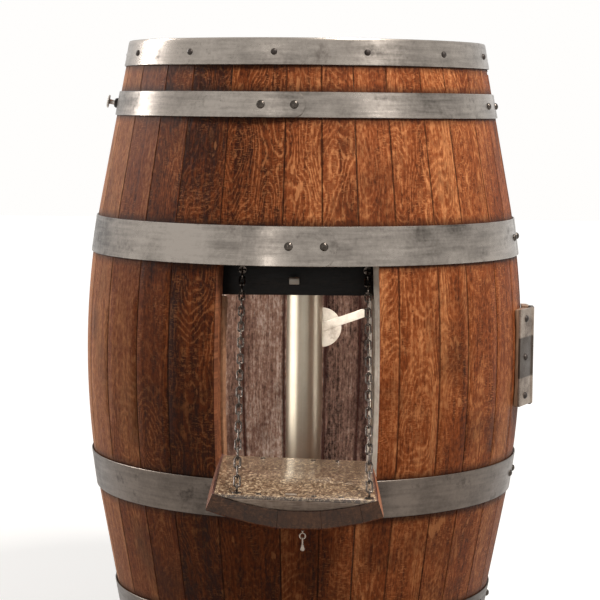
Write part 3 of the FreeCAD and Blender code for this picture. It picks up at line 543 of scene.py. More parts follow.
def makeStaves(name, row, low, high, body, node, number, startGap=halfSeam, endGap=halfSeam, place=None):
    notes = MeshNotes()
    for index, (start, end) in enumerate(zip(row, row[1:])):
        first = start + (startGap if index == 0 else halfSeam)
        last = end - (endGap if index == len(row) - 2 else halfSeam)
        addStave(notes, first, last, low, high, number + index)
    makeObject(name, notes, ("oakOutside", "oakInside", "endGrain", "cutEdge"), body, "oak", node, 38, place)


hinge = {"y": -0.3275328, "z": 0.299}
flap = {"low": cask["hatchLow"] + 0.002, "high": cask["hatchHigh"] - 0.008, "sideGap": 0.002}


def opened(point):
    return Vector((point[0], hinge["y"] - (point[2] - hinge["z"]), hinge["z"] + (point[1] - hinge["y"])))


overDoor, underDoor = cask["doorHigh"] + cask["doorGap"], cask["doorLow"] - cask["doorGap"]
flapSide = arc(flap["sideGap"])
for settings in (
        ("leftStaves", seams["left"], 0, cask["height"], "barrel", "staves_left", 1),
        ("rightStaves", seams["right"], 0, cask["height"], "barrel", "staves_right", 12, halfSeam, halfDoor),
        ("backStaves", seams["back"], 0, cask["height"], "barrel", "staves_back", 31, halfDoor),
        ("stavesOverHatch", seams["hatch"], cask["hatchHigh"], cask["height"], "barrel", "staves_above_hatch", 7),
        ("stavesUnderHatch", seams["hatch"], 0, cask["hatchLow"], "barrel", "staves_below_hatch", 7),
        ("stavesOverDoor", seams["door"], overDoor, cask["height"], "barrel", "staves_above_door", 21),
        ("stavesUnderDoor", seams["door"], 0, underDoor, "barrel", "staves_below_door", 21),
        ("doorStaves", seams["door"], cask["doorLow"], cask["doorHigh"], "side_door", "door_staves", 21, halfDoor,
         halfDoor),
        ("flapStaves", seams["hatch"] + (cask["hatchRight"],), flap["low"], flap["high"], "flap", "flap_staves", 7,
         flapSide, flapSide, opened)):
    makeStaves(*settings)

notes = MeshNotes()
start, end = seams["notched"][0] + halfSeam, seams["notched"][1] - halfSeam
addStave(notes, start, end, 0, cask["hatchLow"], 11)
addStave(notes, start, end, cask["hatchHigh"], cask["height"], 11)
addStave(notes, cask["hatchRight"], end, cask["hatchLow"], cask["hatchHigh"], 11, (False, True))
makeObject("notchedStave", notes, ("oakOutside", "oakInside", "endGrain", "paleStripPaintedLight"), "barrel", "oak",
           "stave_notched")
print("staves built")

# heads

headLook = {"count": 5, "gap": 0.0006, "bevel": 0.0012, "rows": 14, "top": 0.912, "play": 0.0006}


def addBoard(notes, left, right, layers, number):
    # layers are (radius, z, inset) from the bottom up
    first, rows = len(notes.points), headLook["rows"]
    centre = (left + right) / 2
    tone = toneOf(number)
    for radius, z, inset in layers:
        xs = spread(left + inset, right - inset, rows)
        for sign, side in ((1, xs), (-1, reversed(xs))):
            for x in side:
                x = max(-radius, min(radius, x))
                y = sign * math.sqrt(max(0.0, radius * radius - x * x))
                distance = max(0.0, min(x - left, right - x))
                notes.add(Vector((x, y, z)), (x - centre, y, number * 1.9), tone, distance)
    count = 2 * rows + 2
    top = first + (len(layers) - 1) * count
    for base in range(first, top, count):
        for index in range(count):
            after = (index + 1) % count
            notes.face([base + index, base + after, base + count + after, base + count + index])
    for base in (first, top):
        for index in range(rows):
            notes.face([base + index, base + index + 1, base + count - 2 - index, base + count - 1 - index])


def makeHead(name, layers, node, number, radius):
    notes = MeshNotes()
    width = 2 * radius / headLook["count"]
    for index in range(headLook["count"]):
        left = -radius + index * width + headLook["gap"] / 2
        addBoard(notes, left, left + width - headLook["gap"], layers, number + index)
    makeObject(name, notes, ["oakHead"], "barrel", "oak", node)


topRadius = wallRadius(cask["ledge"]) - cask["wall"] + cask["rebate"] - headLook["play"]
bevel = headLook["bevel"]
makeHead("topBoards", [(topRadius, cask["ledge"], 0), (topRadius, headLook["top"] - bevel, 0),
                       (topRadius - bevel, headLook["top"], bevel)], "top_boards", 51, topRadius)
crozeInner = wallRadius(cask["croze"]) - cask["wall"]
crozeLow, crozeHigh = cask["croze"] - cask["crozeHalf"], cask["croze"] + cask["crozeHalf"]
makeHead("bottomBoards", [(wallRadius(crozeLow) - cask["wall"] - 0.0008, crozeLow, 0),
                          (crozeInner + 0.0048, cask["croze"], 0),
                          (wallRadius(crozeHigh) - cask["wall"] - 0.0008, crozeHigh, 0)], "bottom_boards", 61,
         crozeInner + cask["crozeDepth"])
print("heads built")

# hoops

hoopLook = {"thick": 0.002, "gap": 0.0003, "round": 0.0006, "pitch": 2.2, "rampAngle": 5.0, "endCurve": 3.2,
            "faceRows": 6, "waver": 0.00018, "lapBefore": 12.0, "lapAfter": 3.0}
hoops = {
    "quarterHoopUpper": {"low": 0.807, "high": 0.842, "rivets": (-12.8, -3.4), "node": "quarter_hoop_upper"},
    "bilgeHoopUpper": {"low": 0.6056, "high": 0.6596, "rivets": (-4.1, 4.6), "node": "bilge_hoop_upper"},
    "bilgeHoopLower": {"low": 0.2544, "high": 0.3084, "rivets": (199.0, 208.0), "node": "bilge_hoop_lower"},
    "quarterHoopLower": {"low": 0.072, "high": 0.107, "rivets": (199.0, 208.0), "node": "quarter_hoop_lower"},
}
headHoops = {"upperLow": 0.879, "lowerLow": 0.002, "lowerHigh": 0.035, "bend": 0.0038, "lip": 0.007,
             "columns": 170}
doorLeft, doorRight = seams["door"][0], seams["door"][-1]


def bandRing(low, high, lift, inset):
    thick, corner = hoopLook["thick"], hoopLook["round"]
    low, high = low + inset, high - inset
    lowRadius, highRadius = (wallRadius(z) + hoopLook["gap"] + lift for z in (low, high))
    fall = (highRadius - lowRadius) / (high - low)
    rows = [(low + corner, 0), (low, corner), (low, thick - corner)]
    rows += [(z, thick) for z in spread(low + corner, high - corner, hoopLook["faceRows"])]
    rows += [(high, thick - corner), (high, corner), (high - corner, 0)]
    return [(lowRadius + fall * (z - low) + out, z) for z, out in rows]


def bandBoard(column, row, azimuth, radius, z):
    return (z, math.radians(azimuth) * radius, 0.3), 0.5, 1.0


def addBand(notes, low, high, start, end, lap=False, closed=False, slot=0):
    azimuths = spread(start, end, max(3, round((end - start) / hoopLook["pitch"])))
    fine = hoopLook["endCurve"]
    if lap:
        azimuths = [azimuth for azimuth in azimuths if azimuth < end - fine - 0.5]
        azimuths += [end - fine * math.cos(math.radians(90 * index / 8)) for index in range(9)]
    if closed:
        azimuths = azimuths[:-1]
    rings = []
    for azimuth in azimuths:
        lift = hoopLook["waver"] * math.sin(math.radians(azimuth * 3 + low * 900))
        inset = 0.0
        if lap:
            lift += hoopLook["thick"] * min(1.0, (azimuth - start) / hoopLook["rampAngle"]) - 0.00005
            share = max(0.0, (azimuth - end + fine) / fine)
            inset = (high - low) * 0.42 * (1 - math.sqrt(max(0.0, 1 - share * share)))
        rings.append(bandRing(low, high, max(0.0, lift), inset))
    sweep(notes, rings, azimuths, bandBoard, closed, lambda row: slot, slot)


doorNotes = MeshNotes()
for name, hoop in hoops.items():
    notes, heights, rivets = MeshNotes(), (hoop["low"], hoop["high"]), hoop["rivets"]
    addBand(notes, *heights, doorRight + halfDoor, doorLeft + 360 - halfDoor)
    addBand(notes, *heights, rivets[0] - hoopLook["lapBefore"], rivets[1] + hoopLook["lapAfter"], True)
    # the lower hoops take the darker copy of the hoop steel: painted shade
    lowerShaded = "Lower" in name
    makeObject(name, notes, ["hoopSteelPaintedShade" if lowerShaded else "hoopSteel"], "barrel", "galvanised", hoop["node"])
    addBand(doorNotes, *heights, doorLeft + halfDoor, doorRight - halfDoor, slot=int(lowerShaded))
makeObject("doorHoops", doorNotes, ("hoopSteel", "hoopSteelPaintedShade"), "side_door", "galvanised", "door_hoops")
notes = MeshNotes()
addBand(notes, headHoops["lowerLow"], headHoops["lowerHigh"], 0, 360, closed=True)
makeObject("headHoopLower", notes, ["hoopSteelPaintedShade"], "barrel", "galvanised", "head_hoop_lower")


def lipRing():
    # the top hoop's section: a band whose upper edge is turned in over the stave ends
    low, thick, corner = headHoops["upperLow"], hoopLook["thick"], hoopLook["round"]
    seat = cask["height"] + hoopLook["gap"]
    lowRadius, topRadius = (wallRadius(z) + hoopLook["gap"] for z in (low, cask["height"]))
    lipRadius, roof = topRadius - headHoops["lip"], seat + thick
    fall = (topRadius - lowRadius) / (cask["height"] - low)
    ring = [(lowRadius, low + corner), (lowRadius + corner, low), (lowRadius + thick - corner, low)]
    ring += [(lowRadius + fall * (z - low) + thick, z) for z in spread(low + corner, roof - headHoops["bend"], 6)]
    ring += [(topRadius + thick - out, roof - drop)
             for out, drop in ((0.0003, 0.0018), (0.0012, 0.0005), (0.0028, 0.0001))]
    ring += [(lipRadius + 0.0005, roof - 0.0001),
             (lipRadius, roof - corner), (lipRadius, seat), (topRadius, seat)]
    return ring


notes = MeshNotes()
azimuths = spread(0, 360, headHoops["columns"])[:-1]
sweep(notes, [lipRing()] * len(azimuths), azimuths, bandBoard, True)
makeObject("headHoopUpper", notes, ["hoopSteel"], "barrel", "galvanised", "head_hoop_upper")
print("hoops built")

# studs, made in Geometry Nodes


def combine(tree, *values):
    return addNode(tree, "ShaderNodeCombineXYZ", dict(enumerate(values)))


def rolled(rotation, angles):
    turn = addNode(rotation.tree, "FunctionNodeEulerToRotation", {0: angles})
    return addNode(rotation.tree, "FunctionNodeRotateRotation", {0: rotation, 1: turn}, rotation_space="LOCAL")


def placeCopies(given, result, points, copy, rotation):
    placed = addNode(given.tree, "GeometryNodeInstanceOnPoints",
                     {"Points": points, "Instance": copy, "Rotation": rotation})
    real = addNode(given.tree, "GeometryNodeRealizeInstances", {0: placed})
    feed(result, {"Geometry": addNode(given.tree, "GeometryNodeSetMaterial",
                                      {"Geometry": real, "Material": given["Finish"]})})


def makeStudTree():
    # a domed head with a closed flat foot on every point, standing along the point's "facing"
    tree, given, result = startTree("GeometryNodeTree", "studHeads", {
        "Geometry": "Geometry", "Radius": 0.0, "Rise": 0.0, "Sides": "Int", "Uneven": 0.0, "Seed": "Int",
        "Finish": "Material"}, {"Geometry": "Geometry"})
    ball = addNode(tree, "GeometryNodeMeshUVSphere", {"Segments": given["Sides"], "Rings": 10})
    level = axisOf(addNode(tree, "GeometryNodeInputPosition"), 2)
    below = addNode(tree, "FunctionNodeCompare", {0: level, 1: 0.0}, data_type="FLOAT", operation="LESS_THAN")
    dome = addNode(tree, "GeometryNodeDeleteGeometry", {"Geometry": ball, "Selection": below}, domain="FACE")
    foot = addNode(tree, "GeometryNodeMeshCircle", {"Vertices": given["Sides"]}, fill_type="NGON")
    joined = addNode(tree, "GeometryNodeJoinGeometry", {0: dome})
    feed(joined.node, {0: addNode(tree, "GeometryNodeFlipFaces", {0: foot})})
    welded = addNode(tree, "GeometryNodeMergeByDistance", {"Geometry": joined, "Distance": 0.001})
    sized = addNode(tree, "GeometryNodeTransform", {
        "Geometry": welded, "Scale": combine(tree, given["Radius"], given["Radius"], given["Rise"])})
    facing = addNode(tree, "GeometryNodeInputNamedAttribute", {"Name": "facing"}, data_type="FLOAT_VECTOR")
    aligned = addNode(tree, "FunctionNodeAlignRotationToVector", {"Vector": facing["Attribute"]}, axis="Z")
    most, least = given["Uneven"], given["Uneven"] * -1.0
    tilt = addNode(tree, "FunctionNodeRandomValue", {
        "Seed": given["Seed"], 0: combine(tree, least, least, 0.0), 1: combine(tree, most, most, 3.1)},
        data_type="FLOAT_VECTOR")
    placeCopies(given, result, given["Geometry"], sized, rolled(aligned, tilt))
    return tree


def runTree(name, tree, points, values, angle, facings=None):
    mesh = bpy.data.meshes.new("carrier")
    mesh.from_pydata(points, [], [])
    if facings:
        layer = mesh.attributes.new("facing", "FLOAT_VECTOR", "POINT")
        layer.data.foreach_set("vector", [number for facing in facings for number in facing])
    carrier = putInScene("carrier", mesh)
    modifier = carrier.modifiers.new("make", "NODES")
    modifier.node_group = tree
    for item in tree.interface.items_tree:
        if item.in_out == "INPUT" and item.name in values:
            modifier[item.identifier] = values[item.name]
    graph = bpy.context.evaluated_depsgraph_get()
    mesh = bpy.data.meshes.new_from_object(carrier.evaluated_get(graph), preserve_all_data_layers=True,
                                           depsgraph=graph)
    mesh.name = name
    bpy.data.objects.remove(carrier)
    if "facing" in mesh.attributes:
        mesh.attributes.remove(mesh.attributes["facing"])
    smoothMesh(mesh, angle)
    return putInScene(name, mesh)


studTree = makeStudTree()
studLooks = {
    "nail": {"Radius": 0.0046, "Rise": 0.0031, "Sides": 16, "Uneven": 0.05, "Seed": 3},
    "rivet": {"Radius": 0.0060, "Rise": 0.0034, "Sides": 18, "Uneven": 0.03, "Seed": 5},
    "bolt": {"Radius": 0.0052, "Rise": 0.0040, "Sides": 18, "Uneven": 0.04, "Seed": 7},
    "screw": {"Radius": 0.0036, "Rise": 0.0014, "Sides": 14, "Uneven": 0.02, "Seed": 9},
}
boltOffsets = {"quarter": (9.1, 3.9), "bilge": (2.7, 5.5)}


def studSeats(low, high, azimuths, layers=1):
    # each seat is a place on the hoop and the way that the stud faces
    tilt = math.atan2(wallRadius(low) - wallRadius(high), high - low)
    radius = (wallRadius(low) + wallRadius(high)) / 2 + hoopLook["gap"] + hoopLook["thick"] * layers
    return [(onWall(azimuth, radius, (low + high) / 2), onWall(azimuth, math.cos(tilt), math.sin(tilt)))
            for azimuth in azimuths]


def makeStuds(name, kind, seats, finish, body, slot, node):
    points, facings = zip(*seats)
    piece = runTree(name, studTree, points, dict(studLooks[kind], Finish=finishes[finish]), 50, facings)
    settle(piece, body, slot, node)


nails = [-9.7 + 360 * index / 13 for index in range(13)]
makeStuds("headNails", "nail", studSeats(headHoops["upperLow"], cask["height"], nails)
          + studSeats(headHoops["lowerLow"], headHoops["lowerHigh"], nails), "darkIron", "barrel", "dark_iron",
          "head_nails")
rivetSeats, frameSeats, doorSeats = [], [], []
for name, hoop in hoops.items():
    low, high = hoop["low"], hoop["high"]
    before, after = boltOffsets["quarter" if name.startswith("quarter") else "bilge"]
    rivetSeats += studSeats(low, high, hoop["rivets"], 2)
    frameSeats += studSeats(low, high, (doorRight + after, doorLeft - before))
    doorSeats += studSeats(low, high, (doorLeft + after, doorRight - before))
makeStuds("lapRivets", "rivet", rivetSeats, "rivetSteel", "barrel", "galvanised", "hoop_rivets")
makeStuds("hoopBolts", "bolt", frameSeats, "rivetSteel", "barrel", "zinc", "hoop_bolts")
makeStuds("doorBolts", "bolt", doorSeats, "rivetSteel", "side_door", "zinc", "door_bolts")
print("studs built")

# chains, made in Geometry Nodes


def makeChainTree():
    tree, given, result = startTree("GeometryNodeTree", "chainLinks", {
        "Geometry": "Geometry", "Start": "Vector", "End": "Vector", "Flat": "Vector", "Count": "Int",
        "First Turn": "Int", "Link Length": 0.0, "Link Width": 0.0, "Wire Radius": 0.0, "Finish": "Material"},
        {"Geometry": "Geometry"})
    oblong = addNode(tree, "GeometryNodeCurvePrimitiveQuadrilateral",
                     {"Width": given["Link Length"], "Height": given["Link Width"]}, mode="RECTANGLE")
    rounded = addNode(tree, "GeometryNodeFilletCurve",
                      {"Curve": oblong, "Count": 4, "Radius": given["Link Width"] * 0.495}, mode="POLY")
    wire = addNode(tree, "GeometryNodeCurvePrimitiveCircle",
                   {"Resolution": 8, "Radius": given["Wire Radius"]}, mode="RADIUS")
    link = addNode(tree, "GeometryNodeCurveToMesh", {"Curve": rounded, "Profile Curve": wire})
    row = addNode(tree, "GeometryNodeMeshLine", {"Count": given["Count"], "Start Location": given["Start"],
                                                 "Offset": given["End"]}, mode="END_POINTS", count_mode="TOTAL")
    along = addNode(tree, "FunctionNodeAlignRotationToVector",
                    {"Vector": vectorCalc("SUBTRACT", given["End"], given["Start"])}, axis="X")
    square = addNode(tree, "FunctionNodeAlignRotationToVector", {"Rotation": along, "Vector": given["Flat"]},
                     axis="Z", pivot_axis="X")
    turn = addNode(tree, "GeometryNodeInputIndex") + given["First Turn"]
    quarter = calc("MODULO", turn, 2.0) * (math.pi / 2)
    placeCopies(given, result, row, link, rolled(square, combine(tree, quarter, 0.0, 0.0)))
    return tree


chainTree = makeChainTree()
chain = {"wire": 0.0026, "width": 0.0096, "play": 0.0004, "links": 26, "reach": 0.007, "ring": 0.0042,
         "topZ": 0.5951, "splay": 0.0056, "margin": 0.0124, "lowerInset": 0.013, "headerDepth": 0.0495}
wireRadius = chain["wire"] / 2 - 0.00005
cleat = {"depth": 0.024, "frontLow": flap["high"] - 0.024, "rearLow": flap["low"] + 0.006, "halfSide": 3.75,
         "gap": 0.0003, "screws": (-10.5, 2.6, 9.0)}
sideCorners = [(0.0, cask["head"])]
for index in range(6):
    cornerZ = middle - cask["bend"] + 2 * cask["bend"] * index / 5
    fall = bendRadius - math.sqrt(bendRadius ** 2 - (cornerZ - middle) ** 2)
    sideCorners.append((cornerZ, cask["bilge"] - fall + (2 * cask["bend"] / 5) ** 2 / (8 * bendRadius)))
sideCorners.append((cask["height"], cask["head"]))


def cadInner(z):
    # the solids' wall runs in short straight lengths
    for (low, lowRadius), (high, highRadius) in zip(sideCorners, sideCorners[1:]):
        if z <= high:
            return lowRadius + (highRadius - lowRadius) * (z - low) / (high - low) - cask["wall"]


def cleatFace(low, x=0):
    # the flat face of a cleat, drawn with the flap closed: its two ends and how far back it lies at x
    radius = min(cadInner(low), cadInner(low + cleat["depth"])) * math.cos(math.radians(cleat["halfSide"]))
    radius -= cleat["gap"]
    left = onWall(cask["hatchLeft"] + 2 * flapSide, radius, 0)
    right = onWall(cask["hatchRight"] - 2 * flapSide, radius, 0)
    return left, right, left.y + (right.y - left.y) * (x - left.x) / (right.x - left.x)


leftEnd, rightEnd, _ = cleatFace(cleat["frontLow"])
chord = (rightEnd - leftEnd).normalized()
inwardWay = upward.cross(chord)
headerFront = chain["headerDepth"] - cadInner(cask["hatchHigh"])
halfSpacing = onWall(cask["hatchRight"], cadInner(cask["hatchHigh"]), 0).x - chain["margin"]
upperSeats, lowerSeats = [], []
for side, sign in (("left", -1), ("right", 1)):
    x = sign * halfSpacing
    upperSeats.append(Vector((x + sign * chain["splay"], headerFront, chain["topZ"])))
    lowerSeats.append(Vector((x, cleatFace(cleat["frontLow"], x)[2], flap["high"] - chain["lowerInset"])))
    top = upperSeats[-1] - toBack * (chain["reach"] + chain["ring"])
    bottom = opened(lowerSeats[-1] + inwardWay * chain["reach"])
    along = (bottom - top).normalized()
    slack = (chain["wire"] + chain["play"]) / 2
    start, end = top - along * slack, bottom - along * (chain["ring"] - slack)
    pitch, half = (end - start).length / chain["links"], chain["links"] // 2
    for part, first in (("upper", 0), ("lower", half)):
        piece = runTree(part.capitalize() + "Chain" + side.capitalize(), chainTree, [(0, 0, 0)], {
            "Start": start + along * pitch * (first + 0.5), "End": start + along * pitch * (first + half - 0.5),
            "Flat": along.cross(toRight).normalized(), "Count": half, "First Turn": first + 1,
            "Link Length": pitch + 2 * slack, "Link Width": chain["width"] - chain["wire"],
            "Wire Radius": wireRadius, "Finish": finishes["chainSteel"]}, 60)
        settle(piece, part + "_chain_" + side, "chain_steel", "chain_" + part + "_" + side)
print("chains built")

# eyes and pull


def around(centre, first, second, radius, count):
    turns = [2 * math.pi * index / count for index in range(count)]
    return [centre + (first * math.cos(turn) + second * math.sin(turn)) * radius for turn in turns]


def addRod(notes, path, radius, sides, normal):
    # a closed loop of wire
    first = len(notes.points)
    for index, point in enumerate(path):
        tangent = (path[(index + 1) % len(path)] - path[index - 1]).normalized()
        up = (normal - tangent * normal.dot(tangent)).normalized()
        for corner in around(point, up, tangent.cross(up), radius, sides):
            notes.add(corner)
    notes.skin(first, len(path), sides, True)


def addLathe(notes, seat, way, outline, sides, slot=0):
    # outline is (radius, height) along the way, closed on the axis at both ends
    turn = upward.rotation_difference(way.normalized())
    first = len(notes.points)
    for radius, rise in outline:
        for corner in around(upward * rise, toRight, toBack, radius, sides):
            notes.add(seat + turn @ corner)
    notes.skin(first, len(outline), sides, False, lambda row: slot, slot)


eye = {"plate": 0.006, "plateThick": 0.0012, "edge": 0.0004}


def addEye(notes, seat, way, normal):
    plate, thick, edge = eye["plate"], eye["plateThick"], eye["edge"]
    reach, ring, shank = chain["reach"], chain["ring"], chain["wire"] / 2
    addRod(notes, around(seat + way * reach, way, way.cross(normal), ring, 20), wireRadius, 10, normal)
    addLathe(notes, seat, way, [(plate - edge, 0), (plate, edge), (plate - edge, thick), (shank, thick + 0.0002),
                                (shank, reach - ring)], 18)


for name, seats, way, normal, body, node, place in (
        ("upperEyes", upperSeats, -toBack, upward, "barrel", "upper_eyes", None),
        ("lowerEyes", lowerSeats, inwardWay, chord, "flap", "lower_eyes", opened)):
    notes = MeshNotes()
    for seat in seats:
        addEye(notes, seat, way, normal)
    makeObject(name, notes, ["chainSteel"], body, "chain_steel", node, 50, place)

pull = {"inset": 0.009, "reach": 0.007, "ring": 0.0036, "wire": 0.0017, "loopLength": 0.0085, "loopWidth": 0.0054,
        "play": 0.0002, "gap": 0.0003}
notes = MeshNotes()
level = flap["high"] - pull["inset"]
pullSeat = Vector((0, -(cadInner(level) + cask["wall"]) - pull["gap"], level))
ringCentre = pullSeat - toBack * pull["reach"]
addRod(notes, around(ringCentre, -toBack, toRight, pull["ring"], 18), pull["wire"] / 2, 8, upward)
addLathe(notes, pullSeat, -toBack, [(0.0017, 0), (0.0019, 0.0004), (0.0012, 0.0009),
                                    (pull["wire"] / 2, pull["reach"] - pull["ring"])], 12)
makeObject("pullEye", notes, ["hingeZinc"], "flap", "chain_steel", "pull_eye", 50, opened)
halfLoop, halfWidth = pull["loopLength"] / 2, pull["loopWidth"] / 2
loopCentre = opened(ringCentre - toBack * pull["ring"]) - upward * (halfLoop - pull["wire"] - pull["play"])
loopPath = []
for end in (-1, 1):
    for step in range(9):
        turn = math.pi * (step / 8 - 0.5)
        loopPath.append(loopCentre + upward * end * (halfLoop - halfWidth + halfWidth * math.cos(turn))
                        - toBack * end * halfWidth * math.sin(turn))
notes = MeshNotes()
addRod(notes, loopPath, pull["wire"] / 2 - 0.00005, 8, toRight)
addLathe(notes, loopCentre - upward * halfLoop, -upward,
         [(0.0004, -0.0006), (0.0009, 0), (0.0013, 0.0015), (0.0022, 0.0048), (0.0026, 0.0062), (0.0024, 0.0075),
          (0.0013, 0.0085)], 14)
makeObject("pullDrop", notes, ["hingeZinc"], "pull", "chain_steel", "pull", 50)
print("eyes and pull built")

# knobs

knob = {"base": 0.0075, "baseRise": 0.0045, "stem": 0.0036, "stemLength": 0.0075, "head": 0.0098,
        "headRise": 0.0035, "leftAzimuth": -88.5, "doorAzimuth": 145.0, "doorHeight": 0.560}


def makeKnob(name, azimuth, level, standOff, body, node):
    tilt = math.atan2(cadInner(level - 0.001) - cadInner(level + 0.001), 0.002)
    way = onWall(azimuth, math.cos(tilt), math.sin(tilt))
    seat = onWall(azimuth, cadInner(level) + cask["wall"] + standOff, level)
    base, rise, stem, head, top = (knob[key] for key in ("base", "baseRise", "stem", "head", "headRise"))
    shoulder = rise + knob["stemLength"]
    notes = MeshNotes()
    addLathe(notes, seat, way, [(base, 0.0), (base, 0.0012), (base - 0.0012, rise - 0.0008),
                                (stem + 0.0006, rise)], 24)
    addLathe(notes, seat, way, [(stem, rise - 0.0004), (stem, shoulder - 0.001), (stem + 0.0008, shoulder),
                                (head - 0.0007, shoulder), (head, shoulder + 0.0008),
                                (head - 0.0003, shoulder + top * 0.6), (head * 0.75, shoulder + top * 0.9),
                                (head * 0.3, shoulder + top)], 28, 1)
    makeObject(name, notes, ("darkIron", "knobSteel"), body, "zinc", node, 45)


knobLevel = (hoops["quarterHoopUpper"]["low"] + hoops["quarterHoopUpper"]["high"]) / 2
makeKnob("leftKnob", knob["leftAzimuth"], knobLevel, hoopLook["gap"] + hoopLook["thick"], "barrel", "left_knob")
makeKnob("doorKnob", knob["doorAzimuth"], knob["doorHeight"], hoopLook["gap"], "side_door", "door_knob")
print("knobs built")

# softened copies of flat-sided nodes


def softened(name, node, body, slot, looks, width):
    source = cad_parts[node]
    mesh = source.data.copy()
    mesh.name = name
    mesh.materials.clear()
    for look in looks:        # a pair is left half, right half
        mesh.materials.append(finishes[look])
    shape = bmesh.new()
    shape.from_mesh(mesh)
    bmesh.ops.transform(shape, matrix=source.matrix_world, verts=shape.verts)
    bmesh.ops.remove_doubles(shape, verts=shape.verts, dist=1e-6)
    bmesh.ops.dissolve_limit(shape, angle_limit=math.radians(1), verts=shape.verts, edges=shape.edges)
    for face in shape.faces:
        face.material_index = int(len(looks) > 1 and face.calc_center_median().x > 0)
    sharp = [edge for edge in shape.edges if edge.is_manifold and edge.calc_face_angle(0) > math.radians(35)]
    bmesh.ops.bevel(shape, geom=sharp, offset=width, offset_type="OFFSET", segments=2, profile=0.6,
                    affect="EDGES", clamp_overlap=True)
    bmesh.ops.triangulate(shape, faces=[face for face in shape.faces if len(face.verts) > 4])
    settle(finishMesh(name, mesh, shape, 38), body, slot, node)


for settings in (
        ("frontCleat", "flap_front_cleat", "flap", "grey_wood", ["greyCleat"], 0.0014),
        ("rearCleat", "flap_rear_cleat", "flap", "grey_wood", ["greyCleat"], 0.0010),
        ("flapLining", "flap_lining", "flap", "inner_wood", ["fleckedBoard"], 0.0006),
        ("hatchHeader", "header_board", "barrel", "dark_wood", ["darkBoard"], 0.0010),
        # the right half is much paler than the left half: painted light falling on the right jamb
        ("jambStrips", "jamb_strips", "barrel", "inner_wood", ["brownStrip", "paleStripPaintedLight"], 0.0010),
        ("shelfBlocks", "shelf_blocks", "barrel", "inner_wood", ["shelfBoard"], 0.0012),
        ("hatchCatch", "flap_catch", "barrel", "pale_plastic", ["catchPlastic"], 0.0010),
        ("strikePlate", "flap_strike", "flap", "zinc", ["hingeZinc"], 0.0003),
        ("hatchLeavesFixed", "hatch_fixed_leaves", "barrel", "zinc", ["darkIron"], 0.0003),
        ("hatchLeavesMoving", "hatch_moving_leaves", "flap", "zinc", ["darkIron"], 0.0003),
        ("hatchPins", "hatch_pins", "barrel", "zinc", ["darkIron"], 0.0002),
        ("sideLeafFixed", "side_fixed_leaf", "barrel", "zinc", ["hingeZinc"], 0.0005),
        ("sideLeafMoving", "side_moving_leaf", "side_door", "zinc", ["hingeZinc"], 0.0005),
        ("sidePackingFixed", "side_fixed_packing", "barrel", "inner_wood", ["shelfBoard"], 0.0006),
        ("sidePackingMoving", "side_moving_packing", "side_door", "inner_wood", ["shelfBoard"], 0.0006),
        ("sidePin", "side_pin", "barrel", "zinc", ["darkIron"], 0.0003),
        ("doorBattens", "door_battens", "side_door", "inner_wood", ["shelfBoard"], 0.0012),
        ("doorCatch", "door_catch", "barrel", "pale_plastic", ["catchPlastic"], 0.0010),
        ("postArm", "post_arm", "barrel", "pale_plastic", ["discEnamel"], 0.0005)):
    softened(*settings)
print("softened pieces built")

# shelves, post and plate

shelf = {"thick": 0.018, "gap": 0.005, "round": 0.0015, "floor": 0.235, "ceiling": 0.612}
for name, low, node in (("floorBoard", shelf["floor"] - shelf["thick"], "floor_board"),
                        ("ceilingBoard", shelf["ceiling"], "ceiling_board")):
    notes, thick, edge = MeshNotes(), shelf["thick"], shelf["round"]
    radius = min(cadInner(low), cadInner(low + thick)) - shelf["gap"]
    half = [(radius - edge, 0), (radius - edge * 0.3, edge * 0.3), (radius, edge)]
    addLathe(notes, upward * low, upward, half + [(out, thick - rise) for out, rise in reversed(half)], 96)
    makeObject(name, notes, ["shelfBoard"], "barrel", "inner_wood", node)

post = {"radius": 0.027, "wall": 0.002, "flange": 0.042, "thick": 0.003, "plate": 0.0305, "plateX": 0.026,
        "plateZ": 0.4855, "bossX": 0.0205, "bossY": 0.0185, "boss": 0.0045, "bossLength": 0.0085}
notes, thick = MeshNotes(), post["thick"]
low, high, inner = shelf["floor"] + thick, shelf["ceiling"] - thick, post["radius"] - post["wall"]
tube = [(post["radius"], low), (post["radius"], high), (inner, high), (inner, low)]
turns = spread(0, 360, 64)[:-1]
sweep(notes, [tube] * len(turns), turns, lambda *about: ((0, 0, 0), 0.5, 1.0), True)
makeObject("centrePost", notes, ["postSteel"], "barrel", "satin_steel", "post")


def addDisc(notes, seat, way, radius, length, sides, near=(0.0004, 0.0004), far=(0.0008, 0.0008)):
    # near and far are how deep and how long the two rounded edges are
    addLathe(notes, seat, way, [(radius - near[0], 0), (radius, near[1]), (radius, length - far[1]),
                                (radius - far[0], length)], sides)


notes = MeshNotes()
addDisc(notes, upward * shelf["floor"], upward, post["flange"], thick, 64)
addDisc(notes, upward * shelf["ceiling"], -upward, post["flange"], thick, 64)
makeObject("postFlanges", notes, ["postSteel"], "barrel", "satin_steel", "post_flanges")
notes = MeshNotes()
addDisc(notes, Vector((post["plateX"], post["radius"] + thick, post["plateZ"])), toBack, post["plate"], thick, 64,
        (0.0006, 0.0006))
addDisc(notes, Vector((post["bossX"], post["bossY"], post["plateZ"])), toBack, post["boss"], post["bossLength"],
        24, far=(0.0004, 0.0003))
makeObject("postPlate", notes, ["discEnamel"], "barrel", "pale_plastic", "post_plate")
print("post built")

# screws and side hinge bolts

seats = []
for low in (cleat["frontLow"], cleat["rearLow"]):
    level = low + cleat["depth"] / 2
    for azimuth in cleat["screws"]:
        x = onWall(azimuth, cadInner(level), 0).x
        seat = Vector((x, cleatFace(low, x)[2], level))
        seats.append((opened(seat), opened(seat + inwardWay) - opened(seat)))
makeStuds("cleatScrews", "screw", seats, "rivetSteel", "flap", "dark_iron", "cleat_screws")

